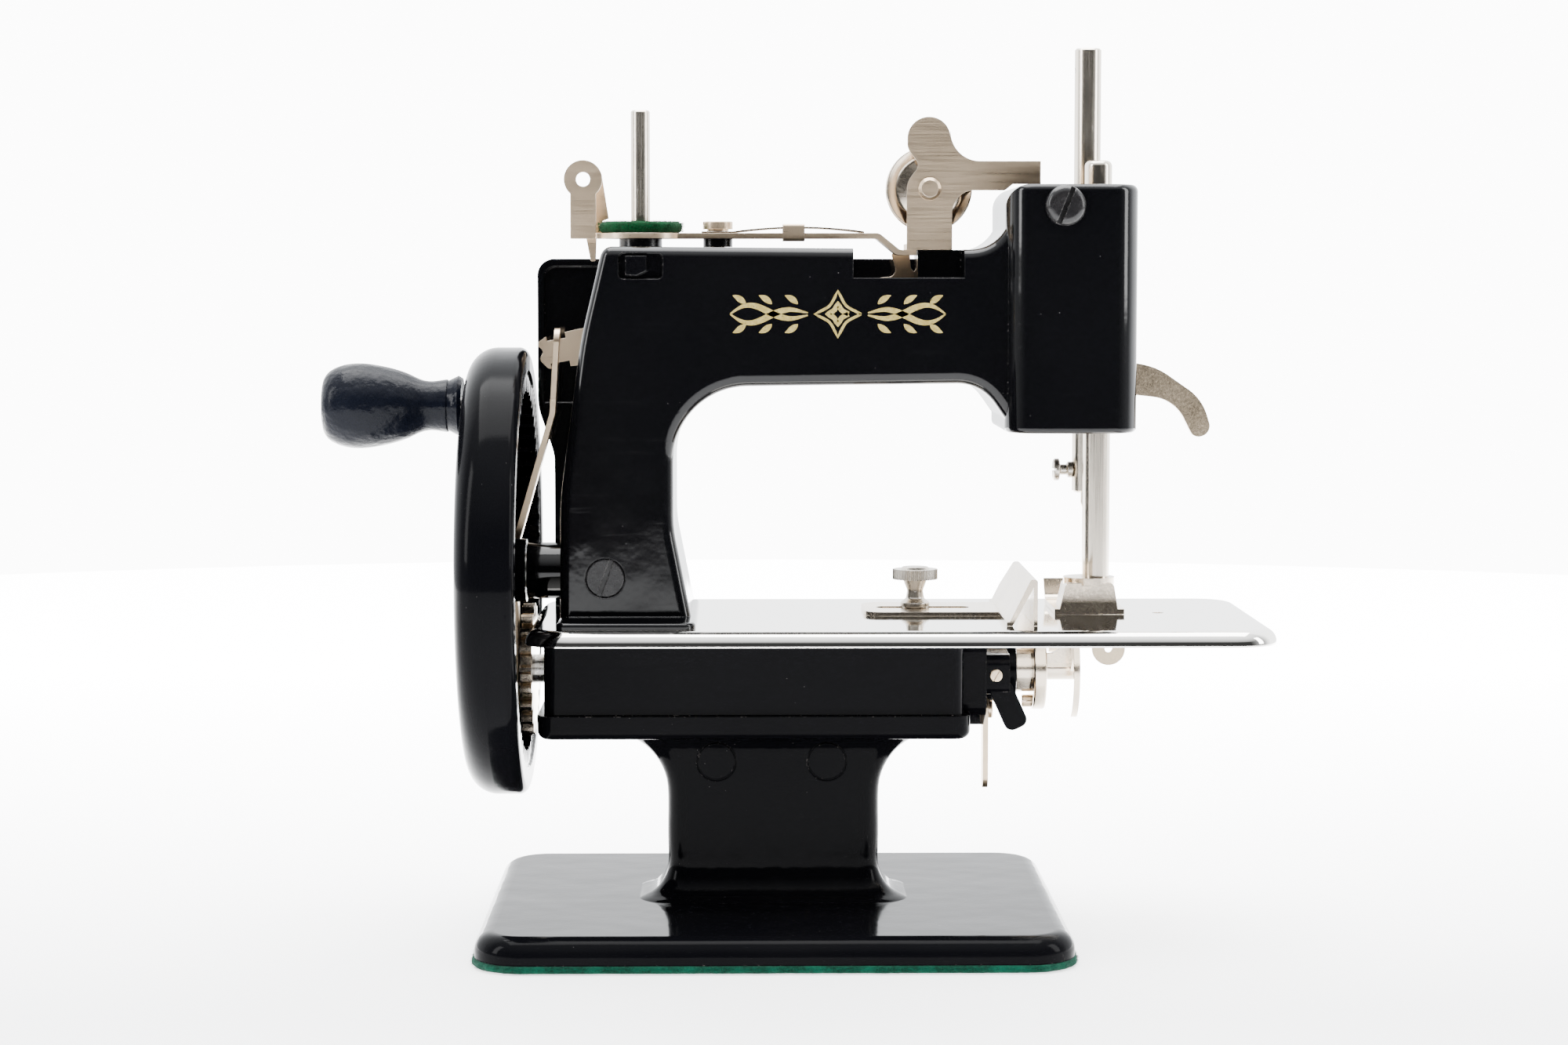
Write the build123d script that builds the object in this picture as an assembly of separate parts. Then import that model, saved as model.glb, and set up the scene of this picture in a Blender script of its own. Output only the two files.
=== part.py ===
from build123d import *
import math
import os

# A child's hand-cranked chain-stitch sewing machine, each piece a solid of its own.
# Millimetres, +Z up. The origin is the middle of the base's underside, on the felt.
# +X runs from the handwheel towards the needle, and +Y is the side the child sits on.

# ---- base and pedestal ----
BASE_LENGTH = 118.0
BASE_DEPTH = 95.4
BASE_THICK = 5.1
BASE_CORNER = 10.0
BASE_ROLL = 3.8
FELT_THICK = 1.6
FELT_PROUD = 0.5
PEDESTAL_LENGTH = 43.5
PEDESTAL_DEPTH = 17.0
PEDESTAL_Y = 1.5
PEDESTAL_FLARE = 7.0
PEDESTAL_TOP_FLARE = 12.5
PEDESTAL_TOP_LIP = 4.0
PEDESTAL_WALL = 4.0
PLUG_RADIUS = 4.1

# ---- shaft housing, cast in one with the pedestal ----
HOUSING_LEFT = -48.0
HOUSING_RIGHT = 40.0
HOUSING_FRONT = -15.3
HOUSING_BACK = 25.0
HOUSING_BOTTOM = 40.7
LEDGE_HEIGHT = 4.9
LEDGE_STEP = 1.3
HOUSING_WALL = 3.0
BEARING_END = 51.0
BEARING_RADIUS = 7.0

# ---- bed plate ----
BED_LEFT = -49.5
BED_RIGHT = 100.2
BED_DEPTH = 67.4
BED_TOP = 64.8
BED_LIP = 3.1
BED_SHEET = 1.2
BED_CORNER = 9.0
BED_ROLL = 2.8

# ---- arm ----
ARM_FRONT = -18.0
ARM_SPLIT = 17.0
ARM_TOP = 140.5
ARM_ROUND = 2.2
COVER_THICK = 3.0
COVER_TOP = 138.2
FOOT_FLANGE = 1.4
FOOT_FLANGE_FRONT = -30.0
NOTCH_LEFT = 15.9
NOTCH_RIGHT = 38.1
NOTCH_FLOOR = 134.2

# ---- head ----
HEAD_LEFT = 46.4
HEAD_RIGHT = 72.9
HEAD_FRONT = -22.0
HEAD_BACK = 21.0
HEAD_BOTTOM = 103.2
HEAD_TOP = 152.8
SHOULDER_ROUND = 4.5

# ---- needle bar, lever and link ----
NEEDLE_X = 65.8
SHAFT_Y = 12.7
SHAFT_Z = 52.0
NEEDLE_BAR_RADIUS = 2.75
NEEDLE_BAR_BOTTOM = 89.3
NEEDLE_BAR_TOP = 181.8
NEEDLE_RADIUS = 0.55
NEEDLE_TIP = 68.2
LEVER_PIVOT_Z = 126.8
LEVER_TILT = 9.8
LEVER_THICK = 1.6
LEVER_BAR_GAP = 0.15
LEVER_SLOT_ROOM = 0.6
LEVER_TAIL = 45.3
LINK_THICK = 1.2
LINK_WIDTH = 5.6
LINK_BOTTOM_X = -54.0
CRANK_THROW = 6.15
CRANK_PIN_RADIUS = 2.0

# ---- presser bar ----
PRESSER_X = 67.1
PRESSER_Y = 3.4
PRESSER_RADIUS = 2.8
PRESSER_BOTTOM = 68.5
PRESSER_TOP = 158.3
LIFTER_X = 69.6
LIFTER_Z = 113.6
LIFTER_FRONT = -1.9
LIFTER_THICK = 2.0
SPRING_WIRE = 0.6

# ---- handwheel ----
WHEEL_RADIUS = 46.0
WHEEL_RIGHT = -50.3
WHEEL_LEFT = -62.3
WHEEL_WEB_INNER = -58.5
AXLE_RADIUS = 3.5
AXLE_BOSS_RADIUS = 5.8
AXLE_BOSS_END = -50.6
KNOB_CIRCLE = 36.0
KNOB_ANGLE = 107.0
KNOB_LENGTH = 28.0
KNOB_BULB = 8.6
KNOB_NECK = 5.0

# ---- gears: an internal ring in the wheel drives a pinion three turns for one ----
GEAR_MODULE = 1.27
PINION_TEETH = 20
RING_TEETH = 60
PRESSURE_ANGLE = math.radians(20)
BACKLASH = 0.16
PINION_THICK = 2.5
PINION_RIGHT = -50.0
SHAFT_RADIUS = 3.0
SHAFT_TIP_RADIUS = 1.5
SHAFT_STEP = 57.4
SHAFT_END = 64.9
GEAR_DISTANCE = GEAR_MODULE * (RING_TEETH - PINION_TEETH) / 2
WHEEL_Z = SHAFT_Z + math.sqrt(GEAR_DISTANCE ** 2 - SHAFT_Y ** 2)

# ---- thread path on top of the arm ----
PLATE_Z = 142.2
PLATE_THICK = 1.1
PLATE_HALF_WIDTH = 5.0
SPOOL_X = -27.1
SPOOL_RADIUS = 1.95
SPOOL_TOP = 168.3
SPOOL_FELT_RADIUS = 8.6
SPOOL_FELT_THICK = 2.4
TENSION_SCREW_X = -11.3
BRACKET_Z = 139.9
BRACKET_FRONT = -7.2
BRACKET_SHEET = 1.2
PULLEY_X = 31.7
PULLEY_Z = 152.2
PULLEY_RADIUS = 8.7
PULLEY_WIDTH = 4.8

# ---- cloth guide ----
GUIDE_SHEET = 0.8
GUIDE_SCREW_X = 29.7
GUIDE_SCREW_Y = 6.0
GUIDE_LEFT = 18.7
GUIDE_BEND = 46.5
GUIDE_FENCE = 52.7
GUIDE_FENCE_HEIGHT = 9.3
GUIDE_FENCE_HALF = 23.0

# ---- clearances ----
RUN = 0.05       # radial clearance of a shaft or bar that turns or slides
SLOT_RUN = 0.08  # clearance of the needle bar's stud in the lever's slot
SEAT = 0.02      # radial clearance of a pin or screw that stays put
AIR = 0.3        # gap between pieces that pass each other

LEVER_FRONT = SHAFT_Y - NEEDLE_BAR_RADIUS - LEVER_BAR_GAP - LEVER_THICK
LEVER_CAVITY_FRONT = LEVER_FRONT - LEVER_SLOT_ROOM
BASE_TOP = FELT_THICK + BASE_THICK
BED_UNDER = BED_TOP - BED_SHEET
LEDGE_TOP = HOUSING_BOTTOM + LEDGE_HEIGHT


def outline(*corners):
    """A closed face through corners given as (x, y, corner radius)."""
    radii = [corner[2] for corner in corners]
    points = [corner[:2] for corner in corners]
    return make_face(FilletPolyline(*points, radius=radii, close=True))


def slab_xy(face, z0, z1):
    return extrude(Plane.XY.offset(z0) * face, amount=z1 - z0)


def slab_xz(face, y0, y1):
    return extrude(Plane.XZ.offset(-y1) * face, amount=y1 - y0)


def slab_yz(face, x0, x1):
    return extrude(Plane.YZ.offset(x0) * face, amount=x1 - x0)


def block(x0, x1, y0, y1, z0, z1):
    middle = ((x0 + x1) / 2, (y0 + y1) / 2, (z0 + z1) / 2)
    return Pos(*middle) * Box(x1 - x0, y1 - y0, z1 - z0)


def rod_x(x0, x1, y, z, radius):
    return slab_yz(Pos(y, z) * Circle(radius), x0, x1)


def rod_y(y0, y1, x, z, radius):
    return slab_xz(Pos(x, z) * Circle(radius), y0, y1)


def rod_z(z0, z1, x, y, radius):
    return slab_xy(Pos(x, y) * Circle(radius), z0, z1)


def turned_x(face, y, z):
    """A turned piece along X, from a face drawn as (x, radius)."""
    return Pos(0, y, z) * revolve(face, axis=Axis.X)


def turned_y(face, x, z):
    """A turned piece along Y, from a face drawn as (radius, y)."""
    return Pos(x, 0, z) * revolve(face, axis=Axis.Y)


def turned_z(face, x, y):
    """A turned piece along Z, from a face drawn as (radius, z)."""
    return Pos(x, y, 0) * revolve(Plane.XZ * face, axis=Axis.Z)


def screw(head_radius, head_height, shank_radius, shank_length, dome, slot_turn):
    """A slotted screw, head up, its head seated at the origin."""
    head = extrude(Circle(head_radius), amount=head_height)
    top_edge = head.edges().filter_by(GeomType.CIRCLE).sort_by(Axis.Z)[-1]
    head = fillet(top_edge, dome)
    slot = Box(3 * head_radius, head_radius * 0.24, head_height)
    head -= Pos(0, 0, head_height) * Rot(0, 0, slot_turn) * slot
    return head + extrude(Circle(shank_radius), amount=-shank_length)


HEAD_TO_FRONT = Rot(90, 0, 0)
HEAD_TO_BACK = Rot(-90, 0, 0)
HEAD_TO_RIGHT = Rot(0, 90, 0)
HEAD_TO_LEFT = Rot(0, -90, 0)
HEAD_DOWN = Rot(180, 0, 0)


# ---------------------------------------------------------------- base and bed

def base_felt():
    length = BASE_LENGTH + 2 * FELT_PROUD
    depth = BASE_DEPTH + 2 * FELT_PROUD
    return slab_xy(RectangleRounded(length, depth, BASE_CORNER + FELT_PROUD), 0, FELT_THICK)


def flare(height, radius):
    """How far a round fillet of this radius stands out at a height above its foot."""
    height = max(height, 0.0)
    if height >= radius:
        return 0.0
    return radius - math.sqrt(radius ** 2 - (radius - height) ** 2)


def pedestal():
    """The waisted column, flared into the base and into the housing ledge."""
    rise = HOUSING_BOTTOM - BASE_TOP
    shares = (-0.03, 0.03, 0.09, 0.18, 0.33, 0.5, 0.62, 0.72, 0.80, 0.87, 0.92, 0.96, 0.99, 1.03)
    sections = []
    for share in shares:
        up = share * rise
        down = rise - up
        grow_x = flare(up, PEDESTAL_FLARE) + flare(down, PEDESTAL_TOP_FLARE)
        grow_y = flare(up, PEDESTAL_FLARE - 1) + flare(down, PEDESTAL_TOP_LIP)
        corner = 4.0 + 0.5 * (grow_x + grow_y) / 2
        shape = RectangleRounded(PEDESTAL_LENGTH + 2 * grow_x, PEDESTAL_DEPTH + 2 * grow_y, corner)
        sections.append(Pos(0, PEDESTAL_Y, BASE_TOP + up) * shape)
    return loft(sections)


def base_casting():
    plate = slab_xy(RectangleRounded(BASE_LENGTH, BASE_DEPTH, BASE_CORNER), FELT_THICK, BASE_TOP)
    plate = fillet(plate.faces().sort_by(Axis.Z)[-1].edges(), BASE_ROLL)

    middle_x = (HOUSING_LEFT + HOUSING_RIGHT) / 2
    middle_y = (HOUSING_FRONT + HOUSING_BACK) / 2
    length = HOUSING_RIGHT - HOUSING_LEFT
    depth = HOUSING_BACK - HOUSING_FRONT
    ledge = slab_xy(
        Pos(middle_x, middle_y) * RectangleRounded(length, depth, 3.2), HOUSING_BOTTOM, LEDGE_TOP)
    ledge = fillet(ledge.faces().sort_by(Axis.Z)[0].edges(), 1.8)
    wall_face = RectangleRounded(length - 2 * LEDGE_STEP, depth - 2 * LEDGE_STEP, 2.4)
    trough = slab_xy(Pos(middle_x, middle_y) * wall_face, LEDGE_TOP - 0.5, BED_UNDER)

    # The right-hand bearing: a cheek with an ear behind, a boss, a bracket and a lug.
    cheek_end = HOUSING_RIGHT + 3.6
    cheek_face = outline((-9, 45.5, 3), (-9, 61, 3), (20, 61, 0), (20, 44, 5), (8, 41.8, 3),
                         (-1, 41.8, 3))
    cheek = slab_yz(cheek_face, HOUSING_RIGHT - 2, cheek_end)
    ear_y, ear_z = FEED_PIVOT
    ear_face = outline((14, 50, 0), (14, 61, 0), (ear_y - 3, 61, 2), (ear_y + 3.4, ear_z + 1.5, 2.5),
                       (ear_y + 3.4, ear_z - 3, 2.5), (ear_y - 4, ear_z - 6, 2))
    ear = slab_yz(ear_face, HOUSING_RIGHT - 2, HOUSING_RIGHT + 5)
    boss = rod_x(HOUSING_RIGHT - 2, BEARING_END, SHAFT_Y, SHAFT_Z, BEARING_RADIUS)
    bracket = slab_yz(outline((-8, 49, 2), (-8, 57, 2), (14, 58, 0), (14, 47.6, 0)),
                      HOUSING_RIGHT + 2, HOUSING_RIGHT + 8.5)
    lug = Pos(48.3, -4.0, 46.6) * Rot(0, -24, 0) * Box(4.8, 7, 10.0)
    lug = fillet(lug.edges().filter_by(Axis.Y), 1.7)

    body = plate + pedestal() + ledge + trough + cheek + ear + boss + bracket + lug

    cavity = block(
        HOUSING_LEFT + LEDGE_STEP + HOUSING_WALL, HOUSING_RIGHT - LEDGE_STEP - HOUSING_WALL,
        HOUSING_FRONT + LEDGE_STEP + HOUSING_WALL, HOUSING_BACK - LEDGE_STEP - HOUSING_WALL,
        HOUSING_BOTTOM + HOUSING_WALL, BED_TOP)
    column_core = block(
        -PEDESTAL_LENGTH / 2 + PEDESTAL_WALL, PEDESTAL_LENGTH / 2 - PEDESTAL_WALL,
        PEDESTAL_Y - PEDESTAL_DEPTH / 2 + PEDESTAL_WALL,
        PEDESTAL_Y + PEDESTAL_DEPTH / 2 - PEDESTAL_WALL,
        0, HOUSING_BOTTOM - PEDESTAL_WALL)
    body -= cavity + column_core
    body -= rod_x(HOUSING_LEFT - 5, BEARING_END + 5, SHAFT_Y, SHAFT_Z, SHAFT_RADIUS + RUN)
    # Faint round marks left by the casting die's pins.
    pedestal_front = PEDESTAL_Y - PEDESTAL_DEPTH / 2
    for x in (-11.7, 11.0):
        ring = Circle(PLUG_RADIUS) - Circle(PLUG_RADIUS - 0.35)
        body -= slab_xz(Pos(x, 35.2) * ring, pedestal_front - 1, pedestal_front + 0.25)
    body -= rod_y(-9, -4.8, *BEARING_SCREW, 0.8 + SEAT)
    body -= rod_x(cheek_end - 3.5, cheek_end + 1, *REGULATOR_PIVOT, 1.2 + SEAT)
    body -= rod_x(HOUSING_RIGHT - 3, HOUSING_RIGHT + 12, *FEED_PIVOT, 1.2 + SEAT)
    return body


BEARING_SCREW = (45.6, 53.0)
REGULATOR_PIVOT = (3.8, 44.6)
FEED_PIVOT = (26.0, 56.5)


def bed_outline(inset):
    length = BED_RIGHT - BED_LEFT - 2 * inset
    shape = RectangleRounded(length, BED_DEPTH - 2 * inset, BED_CORNER - inset)
    return Pos((BED_LEFT + BED_RIGHT) / 2, 0) * shape


FEED_SLOT = (59.0, 61.8, 5.0, 19.0)


def bed_plate():
    """A nickel-plated plate whose edge is rolled down all round."""
    bottom = BED_TOP - BED_LIP
    plate = slab_xy(bed_outline(0), bottom, BED_TOP)
    plate = fillet(plate.faces().sort_by(Axis.Z)[-1].edges(), BED_ROLL)
    hollow = slab_xy(bed_outline(BED_SHEET), bottom - 1, BED_UNDER)
    hollow = fillet(hollow.faces().sort_by(Axis.Z)[-1].edges(), BED_ROLL - BED_SHEET)
    plate -= hollow
    plate -= rod_z(bottom, BED_TOP + 1, NEEDLE_X, SHAFT_Y, 1.6)
    plate -= block(*FEED_SLOT, bottom, BED_TOP + 1)
    plate -= rod_z(bottom, BED_TOP + 1, GUIDE_SCREW_X, GUIDE_SCREW_Y, 1.5 + SEAT)
    for x, y in PILLAR_SCREWS:
        plate -= rod_z(bottom, BED_TOP + 1, x, y, 1.75 + SEAT)
    plate -= rod_z(bottom, BED_TOP + 1, *CLIP_SCREW, 1.2 + SEAT)
    return plate


PILLAR_SCREWS = ((-33.0, -7.2), (-29.0, 8.5))
CLIP_SCREW = (80.0, 2.0)


def pillar_screws():
    """Two screws that draw the arm down on to the bed plate from inside the housing."""
    one = HEAD_DOWN * screw(3.4, 2.2, 1.75, 6.5, 0.5, 20)
    return [Pos(x, y, BED_UNDER) * one for x, y in PILLAR_SCREWS]


# ---------------------------------------------------------------- arm and head

def arm_outline():
    return outline(
        (-43.1, BED_TOP, 0), (-42.9, 90, 80), (-38.6, 122, 80), (-34.2, ARM_TOP, 2.5),
        (NOTCH_RIGHT + 1, ARM_TOP - 0.6, 0), (47.4, ARM_TOP - 0.2, 8), (47.4, 151, 0),
        (52, 151, 0), (52, 104.5, 0), (47.5, 104.5, 0), (41.5, 113.1, 9),
        (-20.2, 112.3, 15), (-20.2, 84, 25), (-16.4, BED_TOP, 0))


def head_block(y0, y1, front_round, back_round):
    """The head's outer block between two depths, rounded on its four upright edges."""
    face = outline(
        (HEAD_LEFT, y0, front_round), (HEAD_LEFT, y1, back_round),
        (HEAD_RIGHT, y1, back_round), (HEAD_RIGHT, y0, front_round))
    return slab_xy(face, HEAD_BOTTOM, HEAD_TOP)


def head_shoulder():
    """What is rounded off the head's top edge, above the arm."""
    corner = HEAD_TOP - SHOULDER_ROUND
    round_face = Pos(HEAD_LEFT + SHOULDER_ROUND, corner) * Circle(SHOULDER_ROUND)
    square = Pos(HEAD_LEFT - 1, corner) * Rectangle(
        SHOULDER_ROUND + 1, SHOULDER_ROUND + 1, align=(Align.MIN, Align.MIN))
    return slab_xz(square - round_face, HEAD_FRONT - 1, HEAD_BACK + 1)


HEAD_CAVITY_LEFT = 49.0
HEAD_CAVITY_RIGHT = 71.2
HEAD_CAVITY_FRONT = -2.4
HEAD_CAVITY_BOTTOM = 109.6
HEAD_CAVITY_TOP = 148.6


def arm_casting():
    arm = slab_xz(arm_outline(), ARM_FRONT, ARM_SPLIT)
    front_edges = arm.faces().sort_by(Axis.Y)[0].edges()
    arm = fillet([e for e in front_edges if e.center().X < 47 and e.center().Z > BED_TOP + 1],
                 ARM_ROUND)
    head = head_block(HEAD_FRONT, ARM_SPLIT, 6.5, 0)
    head = fillet(head.faces().sort_by(Axis.Z)[-1].edges().sort_by(Axis.Y)[:-1], 1.4)
    head = fillet(head.faces().sort_by(Axis.Z)[0].edges().sort_by(Axis.Y)[:-1], 1.0)
    head -= head_shoulder()
    flange = slab_xy(outline((-43.1, FOOT_FLANGE_FRONT, 1.5), (-15.6, FOOT_FLANGE_FRONT, 3),
                             (-15.6, ARM_SPLIT, 0), (-43.1, ARM_SPLIT, 0)),
                     BED_TOP, BED_TOP + FOOT_FLANGE)
    flange = fillet(flange.faces().sort_by(Axis.Z)[-1].edges().sort_by(Axis.Y)[:-1], 0.7)
    boss = rod_x(AXLE_BOSS_END, -38, 0, WHEEL_Z, AXLE_BOSS_RADIUS)
    body = arm + head + flange + boss

    # The lever's slot runs the length of the arm, open to the left, and into the head.
    slot = block(-60, HEAD_CAVITY_LEFT + 1, LEVER_CAVITY_FRONT, ARM_SPLIT + 1, 114.9, 138.3)
    inner = block(HEAD_CAVITY_LEFT, HEAD_CAVITY_RIGHT, HEAD_CAVITY_FRONT, ARM_SPLIT + 1,
                  HEAD_CAVITY_BOTTOM, HEAD_CAVITY_TOP)
    body -= slot + inner
    # The notch in the top edge, with a pad left standing behind it for the bracket.
    notch = block(NOTCH_LEFT, NOTCH_RIGHT, ARM_FRONT - 1, ARM_SPLIT + 1, NOTCH_FLOOR, ARM_TOP + 5)
    pad = block(BRACKET_PAD_LEFT, NOTCH_RIGHT + 1, -6, LEVER_CAVITY_FRONT, NOTCH_FLOOR - 2,
                BRACKET_Z)
    body = body - notch + pad
    # A cast pocket with a lug in it, where the spool pin is riveted.
    pocket = slab_xz(outline((-31, 134, 1), (-31, 139.2, 1), (-22.2, 139.2, 1), (-22.2, 134, 1)),
                     ARM_FRONT - 1, ARM_FRONT + 1.6)
    lug = slab_xz(outline((-29.6, 134.8, 0), (-29.6, 138.6, 0), (-25.4, 138.6, 0),
                          (-25.4, 135.6, 0), (-27.5, 134.6, 0)),
                  ARM_FRONT - 0.1, ARM_FRONT + 2)
    body = body - pocket + lug

    body -= rod_x(AXLE_BOSS_END - 1, -25, 0, WHEEL_Z, AXLE_RADIUS + SEAT)
    body -= rod_y(ARM_FRONT - 1, -AXLE_RADIUS + 0.4, *LOCK_SCREW, 2.2 + SEAT)
    body -= rod_y(ARM_FRONT - 1, ARM_FRONT + LOCK_HEAD, *LOCK_SCREW, 4.0)
    body -= rod_y(0, ARM_SPLIT, 0, LEVER_PIVOT_Z, 2.0 + SEAT)
    body -= rod_z(SPOOL_BOTTOM, ARM_TOP + 1, SPOOL_X, 0, SPOOL_RADIUS + SEAT)
    body -= rod_z(ARM_TOP - 6.5, ARM_TOP + 1, TENSION_SCREW_X, 0, 1.4 + RUN)
    body -= rod_z(NOTCH_FLOOR - 1, BRACKET_Z + 1, *BRACKET_SCREW, 1.2 + SEAT)
    for x, y in PILLAR_SCREWS:
        body -= rod_z(BED_TOP - 1, BED_UNDER + 6.8, x, y, 1.75 + SEAT)
    body -= rod_z(HEAD_BOTTOM - 1, HEAD_TOP + 1, NEEDLE_X, SHAFT_Y, NEEDLE_BAR_RADIUS + RUN)
    body -= rod_z(HEAD_BOTTOM - 1, HEAD_TOP + 1, PRESSER_X, PRESSER_Y, PRESSER_RADIUS + RUN)
    body -= block(HEAD_CAVITY_RIGHT - 1, HEAD_RIGHT + 1, LIFTER_FRONT - AIR,
                  LIFTER_FRONT + LIFTER_THICK + AIR, HEAD_CAVITY_BOTTOM, 125.4)
    body -= rod_y(-8, 0, LIFTER_X, LIFTER_Z, 1.2 + SEAT)
    body -= rod_y(HEAD_FRONT - 1, HEAD_FRONT + 9, *HEAD_SCREW, 1.8 + SEAT)
    body -= rod_x(HEAD_CAVITY_RIGHT - 1, HEAD_RIGHT + 1, *SIDE_SCREW, 0.9 + SEAT)
    for x, z in COVER_SCREWS:
        body -= rod_y(ARM_SPLIT - 9, ARM_SPLIT + 1, x, z, 1.5 + SEAT)
    return body


LOCK_SCREW = (-33.9, WHEEL_Z)
LOCK_HEAD = 1.2
SPOOL_BOTTOM = 132.0
BRACKET_PAD_LEFT = 29.4
BRACKET_SCREW = (33.4, 2.0)
HEAD_SCREW = (57.8, 148.5)
SIDE_SCREW = (8.5, 142.0)
COVER_SCREWS = ((-24.0, 72.6), (-24.0, 105.5), (56.0, 107.1))


def arm_back_cover():
    """The child's side of the arm: a wall with a beaded edge, wider than the pillar."""
    wall = outline(
        (-46, BED_TOP, 0), (-46, 97, 10), (-49.4, 107, 10), (-49.4, COVER_TOP, 3.5),
        (47, COVER_TOP, 8), (48, 150, 0), (52, 151, 0), (52, 104.5, 0), (47.5, 104.5, 0),
        (41.5, 113.1, 9), (-20.2, 112.3, 15), (-20.2, 84, 25), (-16.4, BED_TOP, 0))
    cover = slab_xz(wall, ARM_SPLIT, ARM_SPLIT + COVER_THICK)
    back_edges = cover.faces().sort_by(Axis.Y)[-1].edges()
    cover = fillet([e for e in back_edges if e.center().X < 47 and e.center().Z > BED_TOP + 1], 1.2)
    # The bead: a shallow field pressed into the wall's inner side left of the pillar.
    field = outline((-48, 108, 0), (-48, COVER_TOP - 1.6, 2.5), (-30, COVER_TOP - 1.6, 0),
                    (-30, 108, 0))
    cover -= slab_xz(field, ARM_SPLIT - 1, ARM_SPLIT + 0.7)
    head = head_block(ARM_SPLIT, HEAD_BACK, 0, 3.5) - head_shoulder()
    head = fillet(head.faces().sort_by(Axis.Y)[-1].edges(), 1.2)
    cover += head
    for x, z in COVER_SCREWS:
        cover -= rod_y(ARM_SPLIT - 1, HEAD_BACK + 1, x, z, 1.5 + SEAT)
    return cover


def cover_screws():
    one = HEAD_TO_BACK * screw(2.7, 1.6, 1.5, 10.5, 0.8, 35)
    seats = [ARM_SPLIT + COVER_THICK, ARM_SPLIT + COVER_THICK, HEAD_BACK]
    return [Pos(x, y, z) * one for (x, z), y in zip(COVER_SCREWS, seats)]


def head_screw():
    one = HEAD_TO_FRONT * screw(4.05, 2.1, 1.8, 8.5, 1.6, 68)
    return Pos(HEAD_SCREW[0], HEAD_FRONT, HEAD_SCREW[1]) * one


def head_side_screw():
    one = HEAD_TO_RIGHT * screw(2.6, 0.9, 0.9, HEAD_RIGHT - HEAD_CAVITY_RIGHT - 0.1, 0.6, 30)
    return Pos(HEAD_RIGHT, *SIDE_SCREW) * one


def axle_lock_screw():
    one = HEAD_TO_FRONT * screw(3.9, LOCK_HEAD - 0.1, 2.2, 12.6, 0.3, 70)
    return Pos(LOCK_SCREW[0], ARM_FRONT + LOCK_HEAD, LOCK_SCREW[1]) * one


# ---------------------------------------------------------------- handwheel and gears

def involute(angle):
    return math.tan(angle) - angle


def gear_face(teeth, tip, root, extra):
    """An involute gear's face. extra thins each tooth, or widens it where negative."""
    pitch = GEAR_MODULE * teeth / 2
    base = pitch * math.cos(PRESSURE_ANGLE)
    inner = max(root, base)
    radii = [inner + (tip - inner) * step / 3 for step in range(4)]
    half_at_pitch = math.pi / (2 * teeth) - extra / (2 * pitch)

    def half_angle(radius):
        pressure = math.acos(min(1.0, base / radius))
        return half_at_pitch + involute(PRESSURE_ANGLE) - involute(pressure)

    points = []
    for tooth in range(teeth):
        middle = 2 * math.pi * tooth / teeth
        flank = [(radius, half_angle(radius)) for radius in radii]
        if root < base:
            flank.insert(0, (root, half_angle(base)))
        rising = [(radius, middle - half) for radius, half in flank]
        falling = [(radius, middle + half) for radius, half in reversed(flank)]
        for radius, angle in rising + falling:
            points.append((radius * math.cos(angle), radius * math.sin(angle)))
    return make_face(Polyline(*points, close=True))


GEAR_LINE_ANGLE = math.degrees(math.atan2(SHAFT_Z - WHEEL_Z, SHAFT_Y))
RING_ROOT = GEAR_MODULE * RING_TEETH / 2 + 1.2 * GEAR_MODULE
RING_TIP = GEAR_MODULE * RING_TEETH / 2 - 0.8 * GEAR_MODULE


def handwheel():
    """A dished wheel, open to the machine, with the ring of teeth inside its rim."""
    hub = AXLE_RADIUS + 3.0
    section = outline(
        (WHEEL_RIGHT, RING_ROOT + 0.6, 1.0), (WHEEL_RIGHT, WHEEL_RADIUS, 1.8),
        (WHEEL_LEFT, WHEEL_RADIUS, 6.0), (WHEEL_LEFT, 28.5, 1.2), (WHEEL_LEFT + 1.5, 27, 1.2),
        (WHEEL_LEFT + 1.5, 12, 1.2), (WHEEL_LEFT, 10.5, 1.2), (WHEEL_LEFT, AXLE_RADIUS + RUN, 0),
        (AXLE_BOSS_END - 0.2, AXLE_RADIUS + RUN, 0), (AXLE_BOSS_END - 0.2, hub, 0),
        (WHEEL_WEB_INNER, hub, 1.5), (WHEEL_WEB_INNER, RING_ROOT + 0.6, 1.0))
    wheel = turned_x(section, 0, WHEEL_Z)
    spaces = gear_face(RING_TEETH, RING_ROOT, RING_TIP - 0.5, -BACKLASH)
    ring = Circle(RING_ROOT + 1.0) - Rot(0, 0, GEAR_LINE_ANGLE) * spaces - Circle(RING_TIP)
    wheel += slab_yz(Pos(0, WHEEL_Z) * ring, WHEEL_WEB_INNER + 1.0, WHEEL_RIGHT - 0.4)
    wheel -= rod_x(WHEEL_LEFT - 1, WHEEL_WEB_INNER + 1, *knob_centre(), KNOB_STUD_RADIUS + SEAT)
    return wheel


KNOB_STUD_RADIUS = 2.0


def knob_centre():
    angle = math.radians(KNOB_ANGLE)
    return (KNOB_CIRCLE * math.cos(angle), WHEEL_Z + KNOB_CIRCLE * math.sin(angle))


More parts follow.
